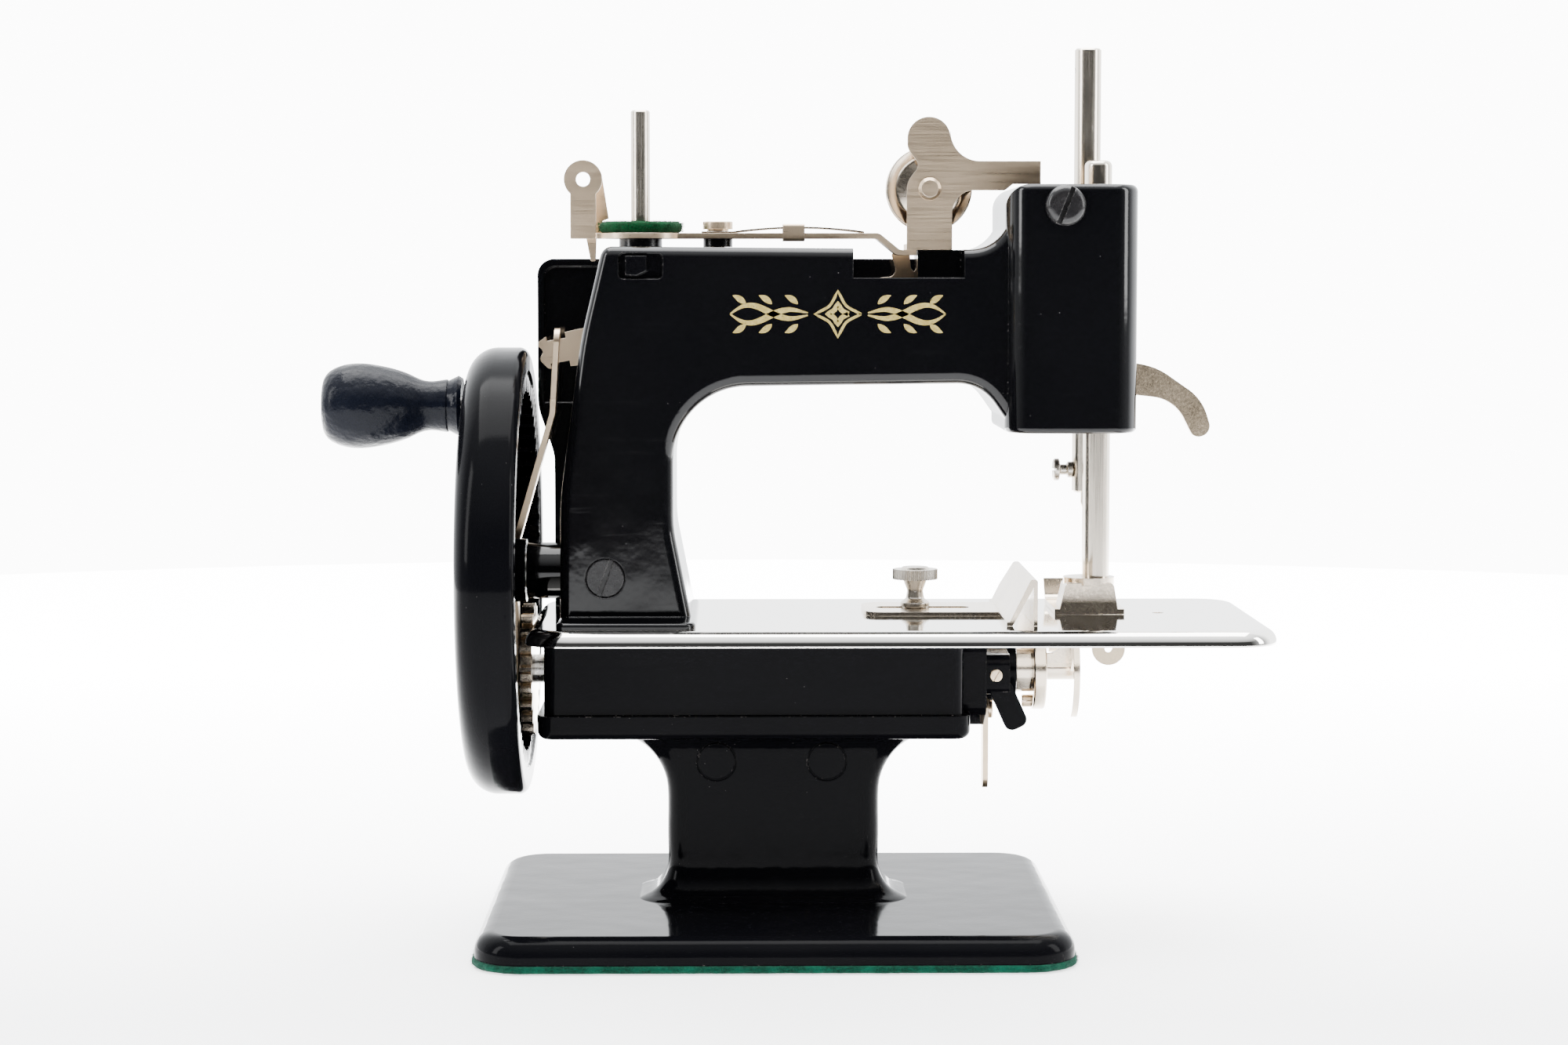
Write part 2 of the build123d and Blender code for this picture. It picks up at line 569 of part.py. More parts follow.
def crank_knob():
    """A turned wooden handle: bulb, waist and flared collar, bored for its stud."""
    right = WHEEL_LEFT - 0.5
    left = right - KNOB_LENGTH
    bore = KNOB_STUD_RADIUS + RUN
    profile = Spline(
        (left, 5.2), (left + 2.2, 7.6), (left + 7.0, KNOB_BULB), (left + 12.0, 8.0),
        (left + 17.3, 6.4), (left + 22.0, KNOB_NECK), (left + 25.0, 5.3), (right - 0.8, 6.1),
        tangents=[(0.3, 1), (1, 0.5)])
    edge = Polyline((right - 0.8, 6.1), (right, 5.6), (right, bore), (left + 1.8, bore),
                    (left + 1.8, 3.4), (left, 3.4), (left, 5.2))
    return turned_x(make_face(profile + edge), *knob_centre())


def knob_stud():
    """The riveted stud the handle spins on, its head sunk in the handle's end."""
    left = WHEEL_LEFT - 0.5 - KNOB_LENGTH
    stud = rod_x(left + 1.0, WHEEL_WEB_INNER, *knob_centre(), KNOB_STUD_RADIUS)
    return stud + rod_x(left + 0.4, left + 1.7, *knob_centre(), 3.2)


def wheel_axle():
    axle = rod_x(WHEEL_LEFT - 0.3, -26, 0, WHEEL_Z, AXLE_RADIUS)
    return axle - rod_x(WHEEL_LEFT - 1, WHEEL_LEFT + 8, 0, WHEEL_Z, 1.2 + SEAT)


def axle_end_screw():
    """The slotted cap screw that keeps the wheel on its axle."""
    one = HEAD_TO_LEFT * screw(5.2, 1.9, 1.2, 8.0, 0.8, 40)
    return Pos(WHEEL_LEFT - 0.3, 0, WHEEL_Z) * one


def pinion_gear():
    tip = GEAR_MODULE * PINION_TEETH / 2 + 1.0 * GEAR_MODULE - 0.15
    root = GEAR_MODULE * PINION_TEETH / 2 - 1.25 * GEAR_MODULE
    teeth = Rot(0, 0, GEAR_LINE_ANGLE) * gear_face(PINION_TEETH, tip, root, BACKLASH)
    left = PINION_RIGHT - PINION_THICK
    gear = slab_yz(Pos(SHAFT_Y, SHAFT_Z) * teeth, left, PINION_RIGHT)
    gear -= rod_x(left - 1, PINION_RIGHT + 1, SHAFT_Y, SHAFT_Z, SHAFT_RADIUS + SEAT)
    return gear - rod_x(left - 1, PINION_RIGHT + 1, SHAFT_Y, SHAFT_Z - CRANK_THROW,
                        CRANK_PIN_RADIUS + SEAT)


def crank_pin():
    """The pin in the pinion that works the link. It stops short of the link's eye."""
    left = LINK_BOTTOM_X + LINK_THICK / 2 + 0.2
    return rod_x(left, PINION_RIGHT, SHAFT_Y, SHAFT_Z - CRANK_THROW, CRANK_PIN_RADIUS)


# ---------------------------------------------------------------- looper shaft

CAM_LEFT = 54.6
CAM_THICK = 2.7
CAM_RADIUS = 8.7
HOOK_LEFT = 62.7
HOOK_THICK = 1.3


def looper_shaft():
    """The long shaft, turned down at its right end to carry the looper."""
    shaft = rod_x(PINION_RIGHT - PINION_THICK, SHAFT_STEP, SHAFT_Y, SHAFT_Z, SHAFT_RADIUS)
    return shaft + rod_x(SHAFT_STEP, SHAFT_END, SHAFT_Y, SHAFT_Z, SHAFT_TIP_RADIUS)


def shaft_collar():
    """The set collar inside the housing that stops the shaft sliding along."""
    ring = Circle(6.0) - Circle(SHAFT_RADIUS + SEAT)
    return slab_yz(Pos(SHAFT_Y, SHAFT_Z) * ring, HOUSING_LEFT + LEDGE_STEP + HOUSING_WALL + AIR,
                   HOUSING_LEFT + LEDGE_STEP + HOUSING_WALL + AIR + 5)


def feed_cam():
    """The cam disc with the boss that clamps it to the shaft."""
    ring = Circle(CAM_RADIUS) - Circle(SHAFT_RADIUS + SEAT)
    disc = slab_yz(Pos(SHAFT_Y, SHAFT_Z) * ring, CAM_LEFT, CAM_LEFT + CAM_THICK)
    disc = fillet(disc.edges().filter_by(GeomType.CIRCLE).sort_by(SortBy.RADIUS)[-2:], 0.4)
    boss = Circle(5.0) - Circle(SHAFT_RADIUS + SEAT)
    disc += slab_yz(Pos(SHAFT_Y, SHAFT_Z) * boss, BEARING_END + AIR, CAM_LEFT + 0.5)
    for rise in CAM_SCREW_RISES:
        disc -= rod_x(CAM_LEFT, CAM_LEFT + 1.8, SHAFT_Y, SHAFT_Z + rise, 0.8 + SEAT)
    return disc


CAM_SCREW_RISES = (7.0, -7.0)


def cam_screws():
    """Two small cheese-head screws that clamp the cam's boss."""
    one = HEAD_TO_LEFT * screw(1.3, 1.9, 0.8, 1.6, 0.3, 90)
    return [Pos(CAM_LEFT, SHAFT_Y, SHAFT_Z + rise) * one for rise in CAM_SCREW_RISES]


def looper():
    """The rotating hook: a hub, a horn beside it and a crescent blade with a point."""
    body = rod_x(SHAFT_STEP + 0.1, SHAFT_END - 0.3, SHAFT_Y, SHAFT_Z, 2.5)
    blade = make_face(
        CenterArc((0, 0), 10.6, -100, 170) + CenterArc((1.1, 1.6), 8.6, -93, 155)
        + Line((10.6 * math.cos(math.radians(-100)), 10.6 * math.sin(math.radians(-100))),
               (1.1 + 8.6 * math.cos(math.radians(-93)), 1.6 + 8.6 * math.sin(math.radians(-93))))
        + Line((10.6 * math.cos(math.radians(70)), 10.6 * math.sin(math.radians(70))),
               (1.1 + 8.6 * math.cos(math.radians(62)), 1.6 + 8.6 * math.sin(math.radians(62)))))
    body += slab_yz(Pos(SHAFT_Y, SHAFT_Z) * Rot(0, 0, 180) * blade, HOOK_LEFT,
                    HOOK_LEFT + HOOK_THICK)
    web = outline((-1.9, -0.9, 0), (-9.6, 3.8, 0.5), (-8.2, 7.0, 0.5), (0.4, 2.2, 0))
    body += slab_yz(Pos(SHAFT_Y, SHAFT_Z) * web, HOOK_LEFT, HOOK_LEFT + HOOK_THICK)
    horn = outline((57.5, SHAFT_Z + 1, 0), (57.5, SHAFT_Z + 3.2, 0.4), (60.4, SHAFT_Z + 3.4, 3),
                   (62.0, SHAFT_Z + 8.9, 0), (63.9, SHAFT_Z + 8.9, 0), (63.9, SHAFT_Z + 1, 0))
    body += slab_xz(horn, SHAFT_Y - 2.2, SHAFT_Y - 0.5)
    return body - rod_x(SHAFT_STEP, SHAFT_END, SHAFT_Y, SHAFT_Z, SHAFT_TIP_RADIUS + SEAT)


# ---------------------------------------------------------------- link, lever and needle bar

TAIL_NOTCH_HALF = 2.4


def lever_pose():
    """The lever's own frame: pivot at its origin, tilted up towards the needle."""
    return Pos(0, 0, LEVER_PIVOT_Z) * Rot(0, -LEVER_TILT, 0)


def needle_lever():
    """The rocking lever: a tail notched for the link, a pivot eye, a finger and a slot."""
    reach = NEEDLE_X / math.cos(math.radians(LEVER_TILT))
    arm = outline(
        (-LEVER_TAIL - 4.2, -1.2, 1), (-LEVER_TAIL - 2.6, -3.4, 1), (-LEVER_TAIL + 4, -3.7, 2),
        (-8, -4.2, 8), (9, -4.2, 8), (reach - 24, -2.7, 10), (reach + 3.2, -2.7, 2.4),
        (reach + 3.2, 2.7, 2.4), (29.9, 3.2, 1.5), (30.2, 8.2, 0.6),
        (26.4, 8.2, 0.6), (27.0, 3.3, 1.5), (8, 4.2, 8), (-8, 4.2, 8),
        (-LEVER_TAIL + 4, 3.7, 2), (-LEVER_TAIL - 1.8, 3.4, 1), (-LEVER_TAIL - 4.4, 2.2, 1),
        (-LEVER_TAIL - 3.0, 0.4, 0.8))
    arm -= Circle(2.0 + RUN)
    middle = (reach + NEEDLE_X) / 2
    arm -= Pos(middle, 0) * SlotOverall(reach - NEEDLE_X + 2 * STUD_RADIUS + 0.7,
                                        2 * (STUD_RADIUS + SLOT_RUN))
    for side in (1, -1):
        arm -= Pos(-LEVER_TAIL, side * (TAIL_NOTCH_HALF + 3)) * Rectangle(LINK_THICK + 2.8, 6)
    return lever_pose() * slab_xz(arm, LEVER_FRONT, LEVER_FRONT + LEVER_THICK)


STUD_RADIUS = 1.5


def lever_pivot_pin():
    return rod_y(1, ARM_SPLIT, 0, LEVER_PIVOT_Z, 2.0)


def lever_spacer():
    """The bush that holds the lever in the middle of its slot."""
    ring = Circle(3.6) - Circle(2.0 + SEAT)
    return slab_xz(Pos(0, LEVER_PIVOT_Z) * ring, LEVER_FRONT + LEVER_THICK + 0.1, ARM_SPLIT)


def link_top():
    tilt = math.radians(LEVER_TILT)
    return (-LEVER_TAIL * math.cos(tilt), LEVER_PIVOT_Z - LEVER_TAIL * math.sin(tilt))


def drive_link():
    """The long flat link: slotted over the lever's tail, joggled, and eyed on the crank."""
    top_x, top_z = link_top()
    half = LINK_THICK / 2
    low = SHAFT_Z - CRANK_THROW
    elbow = (top_x - 1.2, top_z - 13.0)
    knee = (LINK_BOTTOM_X, top_z - 41.0)
    side = outline(
        (top_x - half, top_z + 6, 0), (top_x + half, top_z + 6, 0),
        (elbow[0] + half, elbow[1], 2), (knee[0] + half, knee[1] - 0.5, 3),
        (knee[0] + half, low - 6, 0), (knee[0] - half, low - 6, 0),
        (knee[0] - half, knee[1] + 0.5, 3), (elbow[0] - half, elbow[1], 2))
    lever_y = LEVER_FRONT + LEVER_THICK / 2
    r = LINK_WIDTH / 2
    strip = make_face(
        Polyline((lever_y - r, top_z + 1.9), (SHAFT_Y - r, low))
        + ThreePointArc((SHAFT_Y - r, low), (SHAFT_Y, low - r), (SHAFT_Y + r, low))
        + Polyline((SHAFT_Y + r, low), (lever_y + r, top_z + 1.9))
        + ThreePointArc((lever_y + r, top_z + 1.9), (lever_y, top_z + 1.9 + r),
                        (lever_y - r, top_z + 1.9)))
    strip -= Pos(SHAFT_Y, low) * Circle(CRANK_PIN_RADIUS + 0.1)
    strip -= Pos(lever_y, top_z) * Rectangle(LEVER_THICK + 0.4, 2 * TAIL_NOTCH_HALF + 1.2)
    return slab_xz(side, 0, 30) & slab_yz(strip, -60, -40)


def needle_bar():
    bar = rod_z(NEEDLE_BAR_BOTTOM, NEEDLE_BAR_TOP, NEEDLE_X, SHAFT_Y, NEEDLE_BAR_RADIUS)
    ends = bar.edges().filter_by(GeomType.CIRCLE)
    bar = chamfer(ends, 0.35)
    bar -= rod_x(NEEDLE_X - 4, NEEDLE_X - 1.9, SHAFT_Y, NEEDLE_BAR_TOP - 4.6, 0.8)
    bar -= rod_z(NEEDLE_BAR_BOTTOM - 1, NEEDLE_BAR_BOTTOM + 9, NEEDLE_X, SHAFT_Y,
                 NEEDLE_RADIUS + 0.35 + SEAT)
    bar -= rod_x(NEEDLE_X - 4, NEEDLE_X, SHAFT_Y, CLAMP_Z, 0.9 + SEAT)
    return bar - rod_y(0, SHAFT_Y, NEEDLE_X, stud_height(), STUD_RADIUS - 0.3 + SEAT)


CLAMP_Z = 94.0


def stud_height():
    return LEVER_PIVOT_Z + NEEDLE_X * math.tan(math.radians(LEVER_TILT))


def needle_bar_stud():
    """The stud screwed into the needle bar, running in the lever's slot."""
    z = stud_height()
    stud = rod_y(LEVER_FRONT - 0.15, SHAFT_Y - NEEDLE_BAR_RADIUS, NEEDLE_X, z, STUD_RADIUS)
    stud += rod_y(SHAFT_Y - NEEDLE_BAR_RADIUS - 1, SHAFT_Y, NEEDLE_X, z, STUD_RADIUS - 0.3)
    return stud + rod_y(LEVER_FRONT - 0.75, LEVER_FRONT - 0.15, NEEDLE_X, z, 2.3)


def needle():
    """A machine needle: thick shank in the bar, thin blade with an eye and a point."""
    shank = NEEDLE_RADIUS + 0.35
    tip = NEEDLE_TIP
    profile = Polyline((0, tip), (0.12, tip + 0.4), (NEEDLE_RADIUS, tip + 4.0),
                       (NEEDLE_RADIUS, NEEDLE_BAR_BOTTOM - 3.4), (shank, NEEDLE_BAR_BOTTOM - 2.4),
                       (shank, NEEDLE_BAR_BOTTOM + 8.8), (0, NEEDLE_BAR_BOTTOM + 8.8), (0, tip))
    body = turned_z(make_face(profile), NEEDLE_X, SHAFT_Y)
    eye = Pos(NEEDLE_X, tip + 5.6) * Rot(0, 0, 90) * SlotOverall(1.5, 0.45)
    return body - slab_xz(eye, SHAFT_Y - 2, SHAFT_Y + 2)


def needle_clamp_screw():
    """The small thumb screw that grips the needle, its head on a waisted neck."""
    surface = NEEDLE_X - NEEDLE_BAR_RADIUS
    shank = NEEDLE_X - NEEDLE_RADIUS - 0.4
    profile = outline(
        (shank, 0, 0), (shank, 0.9, 0), (surface, 0.9, 0), (surface, 1.7, 0),
        (surface - 0.9, 1.7, 0.2), (surface - 1.3, 1.1, 0.2), (surface - 2.5, 1.1, 0.2),
        (surface - 2.8, 2.35, 0.2), (surface - 4.0, 2.35, 0.6), (surface - 4.2, 0, 0))
    one = turned_x(profile, SHAFT_Y, CLAMP_Z)
    return one - block(surface - 4.5, surface - 3.5, SHAFT_Y - 3, SHAFT_Y + 3,
                       CLAMP_Z - 0.3, CLAMP_Z + 0.3)


# ---------------------------------------------------------------- presser

COLLAR_BOTTOM = 117.3
COLLAR_TOP = 121.3
SOLE_BOTTOM = BED_TOP + 0.06


def presser_bar():
    bar = rod_z(PRESSER_BOTTOM, PRESSER_TOP, PRESSER_X, PRESSER_Y, PRESSER_RADIUS)
    return fillet(bar.edges().filter_by(GeomType.CIRCLE).sort_by(Axis.Z)[-1], 1.2)


def presser_collar():
    """The collar on the bar that the lifter pushes up and the spring pushes down."""
    ring = Circle(3.7) - Circle(PRESSER_RADIUS + SEAT)
    body = slab_xy(Pos(PRESSER_X, PRESSER_Y) * ring, COLLAR_BOTTOM, COLLAR_TOP)
    lug = block(PRESSER_X - 3, PRESSER_X + 3.7, LIFTER_FRONT, PRESSER_Y, COLLAR_BOTTOM, COLLAR_TOP)
    return body + (lug - rod_z(COLLAR_BOTTOM - 1, COLLAR_TOP + 1, PRESSER_X, PRESSER_Y,
                               PRESSER_RADIUS + SEAT))


def presser_spring():
    """The coil spring above the collar, seated under the head's roof."""
    gap = SPRING_WIRE / 2 + 0.05
    height = HEAD_CAVITY_TOP - COLLAR_TOP - 2 * gap
    radius = PRESSER_RADIUS + 0.12 + SPRING_WIRE / 2
    path = Helix(pitch=height / 11, height=height, radius=radius)
    wire = sweep(Plane(path @ 0, z_dir=path % 0) * Circle(SPRING_WIRE / 2), path)
    return Pos(PRESSER_X, PRESSER_Y, COLLAR_TOP + gap) * wire


def presser_lifter():
    """The curved finger lever on the head's side, with its eye on the lifter pin."""
    face = outline(
        (LIFTER_X, LIFTER_Z + 3.4, 0), (LIFTER_X + 8.4, LIFTER_Z + 2.9, 14),
        (LIFTER_X + 18.6, LIFTER_Z - 4.2, 10), (LIFTER_X + 20.8, LIFTER_Z - 11.2, 2.2),
        (LIFTER_X + 17.0, LIFTER_Z - 12.4, 1.9), (LIFTER_X + 12.9, LIFTER_Z - 4.3, 8),
        (LIFTER_X + 5.0, LIFTER_Z - 3.4, 8), (LIFTER_X, LIFTER_Z - 3.4, 0))
    face += Pos(LIFTER_X, LIFTER_Z) * Circle(3.4)
    face -= Pos(LIFTER_X, LIFTER_Z) * Circle(1.2 + RUN)
    return slab_xz(face, LIFTER_FRONT, LIFTER_FRONT + LIFTER_THICK)


def lifter_pin():
    return rod_y(-8, PRESSER_Y - PRESSER_RADIUS - 0.15, LIFTER_X, LIFTER_Z, 1.2)


def presser_foot():
    """The foot: a flared block on the bar, a flat sole and a toe curled up in front."""
    front = PRESSER_Y - PRESSER_RADIUS - 2.1
    block_back = PRESSER_Y + PRESSER_RADIUS + 1.2
    top = 71.3
    trunk = slab_xz(outline((59.0, SOLE_BOTTOM, 0), (60.5, top, 1.0), (70.4, top, 1.0),
                            (71.4, SOLE_BOTTOM, 0)), front, block_back)
    trunk += rod_z(top - 0.5, top + 1.0, PRESSER_X - 1.4, PRESSER_Y, 5.3)
    side = outline((front, SOLE_BOTTOM, 0), (front, SOLE_BOTTOM + 1.1, 0),
                   (20.0, SOLE_BOTTOM + 1.1, 3), (23.4, SOLE_BOTTOM + 5.2, 0),
                   (24.4, SOLE_BOTTOM + 4.6, 0), (20.6, SOLE_BOTTOM, 3.5))
    sole = slab_yz(side, 58.2, 72.6)
    foot = trunk + sole
    foot -= rod_z(SOLE_BOTTOM - 1, 80, NEEDLE_X, SHAFT_Y, 1.7)
    foot -= block(NEEDLE_X - 0.6, NEEDLE_X + 0.6, SHAFT_Y, 30, SOLE_BOTTOM - 1, 80)
    return foot - rod_z(PRESSER_BOTTOM, 80, PRESSER_X, PRESSER_Y, PRESSER_RADIUS + SEAT)


# ---------------------------------------------------------------- thread path on the arm

def top_plate():
    """The long spring plate on the arm: guide ear, disc for the spool, strap and foot."""
    top = PLATE_Z + PLATE_THICK
    strap = outline((-41.3, -2.7, 0), (-41.3, 2.7, 0), (-36.2, 2.7, 0.8), (-36.2, 4.4, 0.5),
                    (-30, PLATE_HALF_WIDTH, 0), (20, PLATE_HALF_WIDTH, 0),
                    (20, -PLATE_HALF_WIDTH, 0), (-30, -PLATE_HALF_WIDTH, 0), (-36.2, -4.4, 0.5),
                    (-36.2, -2.7, 0.8))
    flat = slab_xy(strap + Pos(SPOOL_X, 0) * Circle(SPOOL_FELT_RADIUS + 0.5), PLATE_Z, top)
    low = BRACKET_Z - PLATE_THICK
    ramp = outline((19.5, PLATE_Z, 0), (19.5, top, 0), (21.6, top, 2), (25.8, low + PLATE_THICK, 1),
                   (BRACKET_PAD_LEFT - 0.2, low + PLATE_THICK, 0),
                   (BRACKET_PAD_LEFT - 0.2, low, 0), (25.2, low, 2), (21.0, PLATE_Z, 1))
    flat += slab_xz(ramp, -PLATE_HALF_WIDTH, 3.5)
    ear = Pos(-38.7, 154.2) * Circle(3.9)
    ear += outline((-41.3, PLATE_Z, 0), (-41.3, 152, 3), (-42.4, 154.2, 0), (-35.0, 154.2, 0),
                   (-36.1, 152, 3), (-36.1, PLATE_Z, 0))
    ear -= Pos(-38.7, 154.2) * Circle(1.45)
    plate = flat + slab_xz(ear, -3.4, -2.4)
    strut = outline((-37.9, top - 0.5, 0), (-37.2, 155.2, 0.8), (-35.2, 155.2, 0.8),
                    (-33.8, 146.4, 0), (-35.1, 145.9, 0), (-35.1, top - 0.5, 0))
    plate += slab_xz(strut, 4.0, 4.9)
    lug = outline((-38.4, PLATE_Z + 0.5, 0), (-36.2, PLATE_Z + 0.5, 0), (-36.4, 137.6, 0.3),
                  (-37.4, 137.6, 0.3))
    plate += slab_xz(lug, 1.2, 2.2)
    plate -= rod_z(PLATE_Z - 1, top + 1, SPOOL_X, 0, SPOOL_RADIUS + SEAT)
    return plate - rod_z(PLATE_Z - 1, top + 1, TENSION_SCREW_X, 0, 1.4 + RUN)


def plate_spacers():
    """Washers that hold the plate off the arm, at the spool pin and the screw."""
    places = ((SPOOL_X, 4.4, SPOOL_RADIUS), (TENSION_SCREW_X, 3.0, 1.4 + RUN))
    rings = [(x, Circle(outer) - Circle(inner + SEAT)) for x, outer, inner in places]
    return [slab_xy(Pos(x, 0) * ring, ARM_TOP, PLATE_Z) for x, ring in rings]


def spool_pin():
    pin = rod_z(SPOOL_BOTTOM, SPOOL_TOP, SPOOL_X, 0, SPOOL_RADIUS)
    return chamfer(pin.edges().filter_by(GeomType.CIRCLE).sort_by(Axis.Z)[-1], 0.3)


def spool_felt():
    ring = Circle(SPOOL_FELT_RADIUS) - Circle(SPOOL_RADIUS + 0.1)
    bottom = PLATE_Z + PLATE_THICK
    pad = slab_xy(Pos(SPOOL_X, 0) * ring, bottom, bottom + SPOOL_FELT_THICK)
    return fillet(pad.edges().filter_by(GeomType.CIRCLE).sort_by(SortBy.RADIUS)[-2:], 0.5)


SPRING_LEFT = -14.6
SPRING_RIGHT = 18.6
SPRING_LIFT = 0.95
SPRING_SHEET = 0.4


def tension_spring():
    """The bowed leaf spring that presses on the thread."""
    z = PLATE_Z + PLATE_THICK
    middle = (TENSION_SCREW_X + 3.2 + SPRING_RIGHT) / 2
    start = TENSION_SCREW_X + 3.2
    top = z + SPRING_SHEET
    bow = make_face(
        Polyline((start, z), (SPRING_LEFT, z), (SPRING_LEFT, top), (start, top))
        + ThreePointArc((start, top), (middle, top + SPRING_LIFT), (SPRING_RIGHT, top))
        + Line((SPRING_RIGHT, top), (SPRING_RIGHT, z))
        + ThreePointArc((SPRING_RIGHT, z), (middle, z + SPRING_LIFT), (start, z)))
    leaf = slab_xz(bow, -2.9, 2.9)
    return leaf - rod_z(z - 1, top + 1, TENSION_SCREW_X, 0, 1.4 + RUN)


def tension_screw():
    """The adjusting screw with its washer."""
    seat = PLATE_Z + PLATE_THICK + SPRING_SHEET + 0.02
    one = screw(3.05, 1.6, 1.4, seat - ARM_TOP + 6, 0.25, 15)
    washer = extrude(Circle(2.2) - Circle(1.0), amount=0.4)
    return Pos(TENSION_SCREW_X, 0, seat) * (Pos(0, 0, 0.4) * one + washer)


def tension_clip():
    """The clip that slides along the plate and sets where the spring bears."""
    low = PLATE_Z - 0.05
    high = PLATE_Z + PLATE_THICK + SPRING_SHEET + SPRING_LIFT + 0.05
    wide = PLATE_HALF_WIDTH + 0.05
    sheet = 0.45
    outer = Pos(0, (low + high) / 2) * RectangleRounded(
        2 * (wide + sheet), high - low + 2 * sheet, 0.6)
    inner = Pos(0, (low + high) / 2) * Rectangle(2 * wide, high - low)
    return slab_yz(outer - inner, 2.0, 6.4)


def tension_bracket():
    """The upright bracket that carries the pulley, with a foot and a bent thread tab."""
    x0 = 27.1
    x1 = 36.3
    foot_top = BRACKET_Z + BRACKET_SHEET
    tab = 54.2
    face = outline(
        (x0, BRACKET_Z, 0), (x0, 153.6, 5), (29.7, 156.9, 1.6), (x0 + 0.1, 160.4, 3),
        (x0 + 0.1, 166.7, 4.3), (35.9, 166.7, 4.3), (35.9, 157.8, 6), (tab, 157.8, 0),
        (tab, 153.2, 0), (48.6, 153.2, 0.8), (47.0, 151.9, 0.8), (x1, 151.9, 4.5), (x1, BRACKET_Z, 0))
    back = BRACKET_FRONT + BRACKET_SHEET
    bracket = slab_xz(face, BRACKET_FRONT, back)
    bracket += block(x0, x1, back - 0.2, 6.0, BRACKET_Z, foot_top)
    bracket += block(tab - BRACKET_SHEET, tab, back - 0.2, back + 5, 153.2, 157.8)
    bracket -= rod_y(BRACKET_FRONT - 1, back + 1, PULLEY_X, PULLEY_Z, 1.5 + SEAT)
    bracket -= rod_z(BRACKET_Z - 1, foot_top + 1, *BRACKET_SCREW, 1.2 + SEAT)
    return bracket


def bracket_screw():
    one = screw(2.2, 1.2, 1.2, 6.0, 0.5, 50)
    return Pos(*BRACKET_SCREW, BRACKET_Z + BRACKET_SHEET) * one


def pulley_axle():
    """The rivet the tension pulley turns on, headed at both ends."""
    back = BRACKET_FRONT + BRACKET_SHEET + PULLEY_WIDTH + 0.4
    profile = outline(
        (0, BRACKET_FRONT - 1.1, 0), (1.7, BRACKET_FRONT - 1.1, 0), (2.3, BRACKET_FRONT - 0.5, 0),
        (2.3, BRACKET_FRONT, 0), (1.5, BRACKET_FRONT, 0), (1.5, back, 0), (2.6, back, 0),
        (2.6, back + 0.8, 0.3), (0, back + 0.8, 0))
    return turned_y(profile, PULLEY_X, PULLEY_Z)


def tension_pulley():
    """A pressed pulley: two dished cheeks meeting in a deep groove."""
    front = BRACKET_FRONT + BRACKET_SHEET + 0.2
    middle = front + PULLEY_WIDTH / 2
    back = front + PULLEY_WIDTH
    profile = outline(
        (1.5 + RUN, front + 0.4, 0), (3.2, front + 0.4, 0.5), (6.6, front + 1.2, 1),
        (PULLEY_RADIUS, front, 0.2), (PULLEY_RADIUS, front + 0.5, 0.2), (5.6, middle, 0.3),
        (PULLEY_RADIUS, back - 0.5, 0.2), (PULLEY_RADIUS, back, 0.2), (6.6, back - 1.2, 1),
        (3.2, back - 0.4, 0.5), (1.5 + RUN, back - 0.4, 0))
    return turned_y(profile, PULLEY_X, PULLEY_Z)


# ---------------------------------------------------------------- on and under the bed

def cloth_guide():
    """The sliding guide: a slotted plate folded up into a tent-shaped fence."""
    z = BED_TOP + 0.03
    y0 = GUIDE_SCREW_Y - 10
    y1 = GUIDE_SCREW_Y + 10
    flat = outline((GUIDE_LEFT, y0, 4), (GUIDE_LEFT, y1, 4), (GUIDE_BEND + 0.3, y1, 0),
                   (GUIDE_BEND + 0.3, y0, 0))
    plate = slab_xy(flat, z, z + GUIDE_SHEET)
    peak = GUIDE_FENCE - 1.2
    high = z + GUIDE_FENCE_HEIGHT
    sheet = GUIDE_SHEET
    fold = outline(
        (GUIDE_BEND, z, 0), (GUIDE_BEND, z + sheet, 0), (GUIDE_BEND + 0.6, z + sheet, 0.2),
        (peak - 0.2, high, 0.6), (GUIDE_FENCE, high, 0.6), (GUIDE_FENCE, z, 0),
        (GUIDE_FENCE - sheet, z, 0), (GUIDE_FENCE - sheet, high - 1.6, 0),
        (GUIDE_BEND + 1.2, z, 0))
    fence = slab_xz(fold, -GUIDE_FENCE_HALF, GUIDE_FENCE_HALF)
    far_corner = slab_yz(outline((GUIDE_FENCE_HALF + 1, z + 3, 0), (GUIDE_FENCE_HALF + 1, high + 1, 0),
                                 (GUIDE_FENCE_HALF - 6, high + 1, 0)), GUIDE_BEND - 1,
                         GUIDE_FENCE + 1)
    slot = Pos((GUIDE_LEFT + GUIDE_BEND) / 2 - 1.3, GUIDE_SCREW_Y) * SlotOverall(19.5, 3.5)
    return plate + (fence - far_corner) - slab_xy(slot, z - 1, z + 2)


def guide_thumb_screw():
    """A knurled thumb screw with a waisted neck and a pressing flange."""
    seat = BED_TOP + 0.03 + GUIDE_SHEET + 0.03
    top = seat + 8.5
    body = turned_z(outline(
        (0, seat, 0), (3.05, seat, 0.3), (3.05, seat + 1.0, 0.3), (1.9, seat + 1.9, 0.8),
        (1.65, seat + 3.6, 1.5), (2.6, top - 2.5, 0.8), (3.6, top - 2.3, 0), (3.6, top - 0.9, 0),
        (2.6, top, 0.4), (0, top, 0)), GUIDE_SCREW_X, GUIDE_SCREW_Y)
    knurl = gear_like_ring(4.7, 4.25, 36)
    body += slab_xy(Pos(GUIDE_SCREW_X, GUIDE_SCREW_Y) * knurl, top - 2.6, top - 0.5)
    return body + rod_z(BED_TOP - 5.5, seat + 0.2, GUIDE_SCREW_X, GUIDE_SCREW_Y, 1.5)


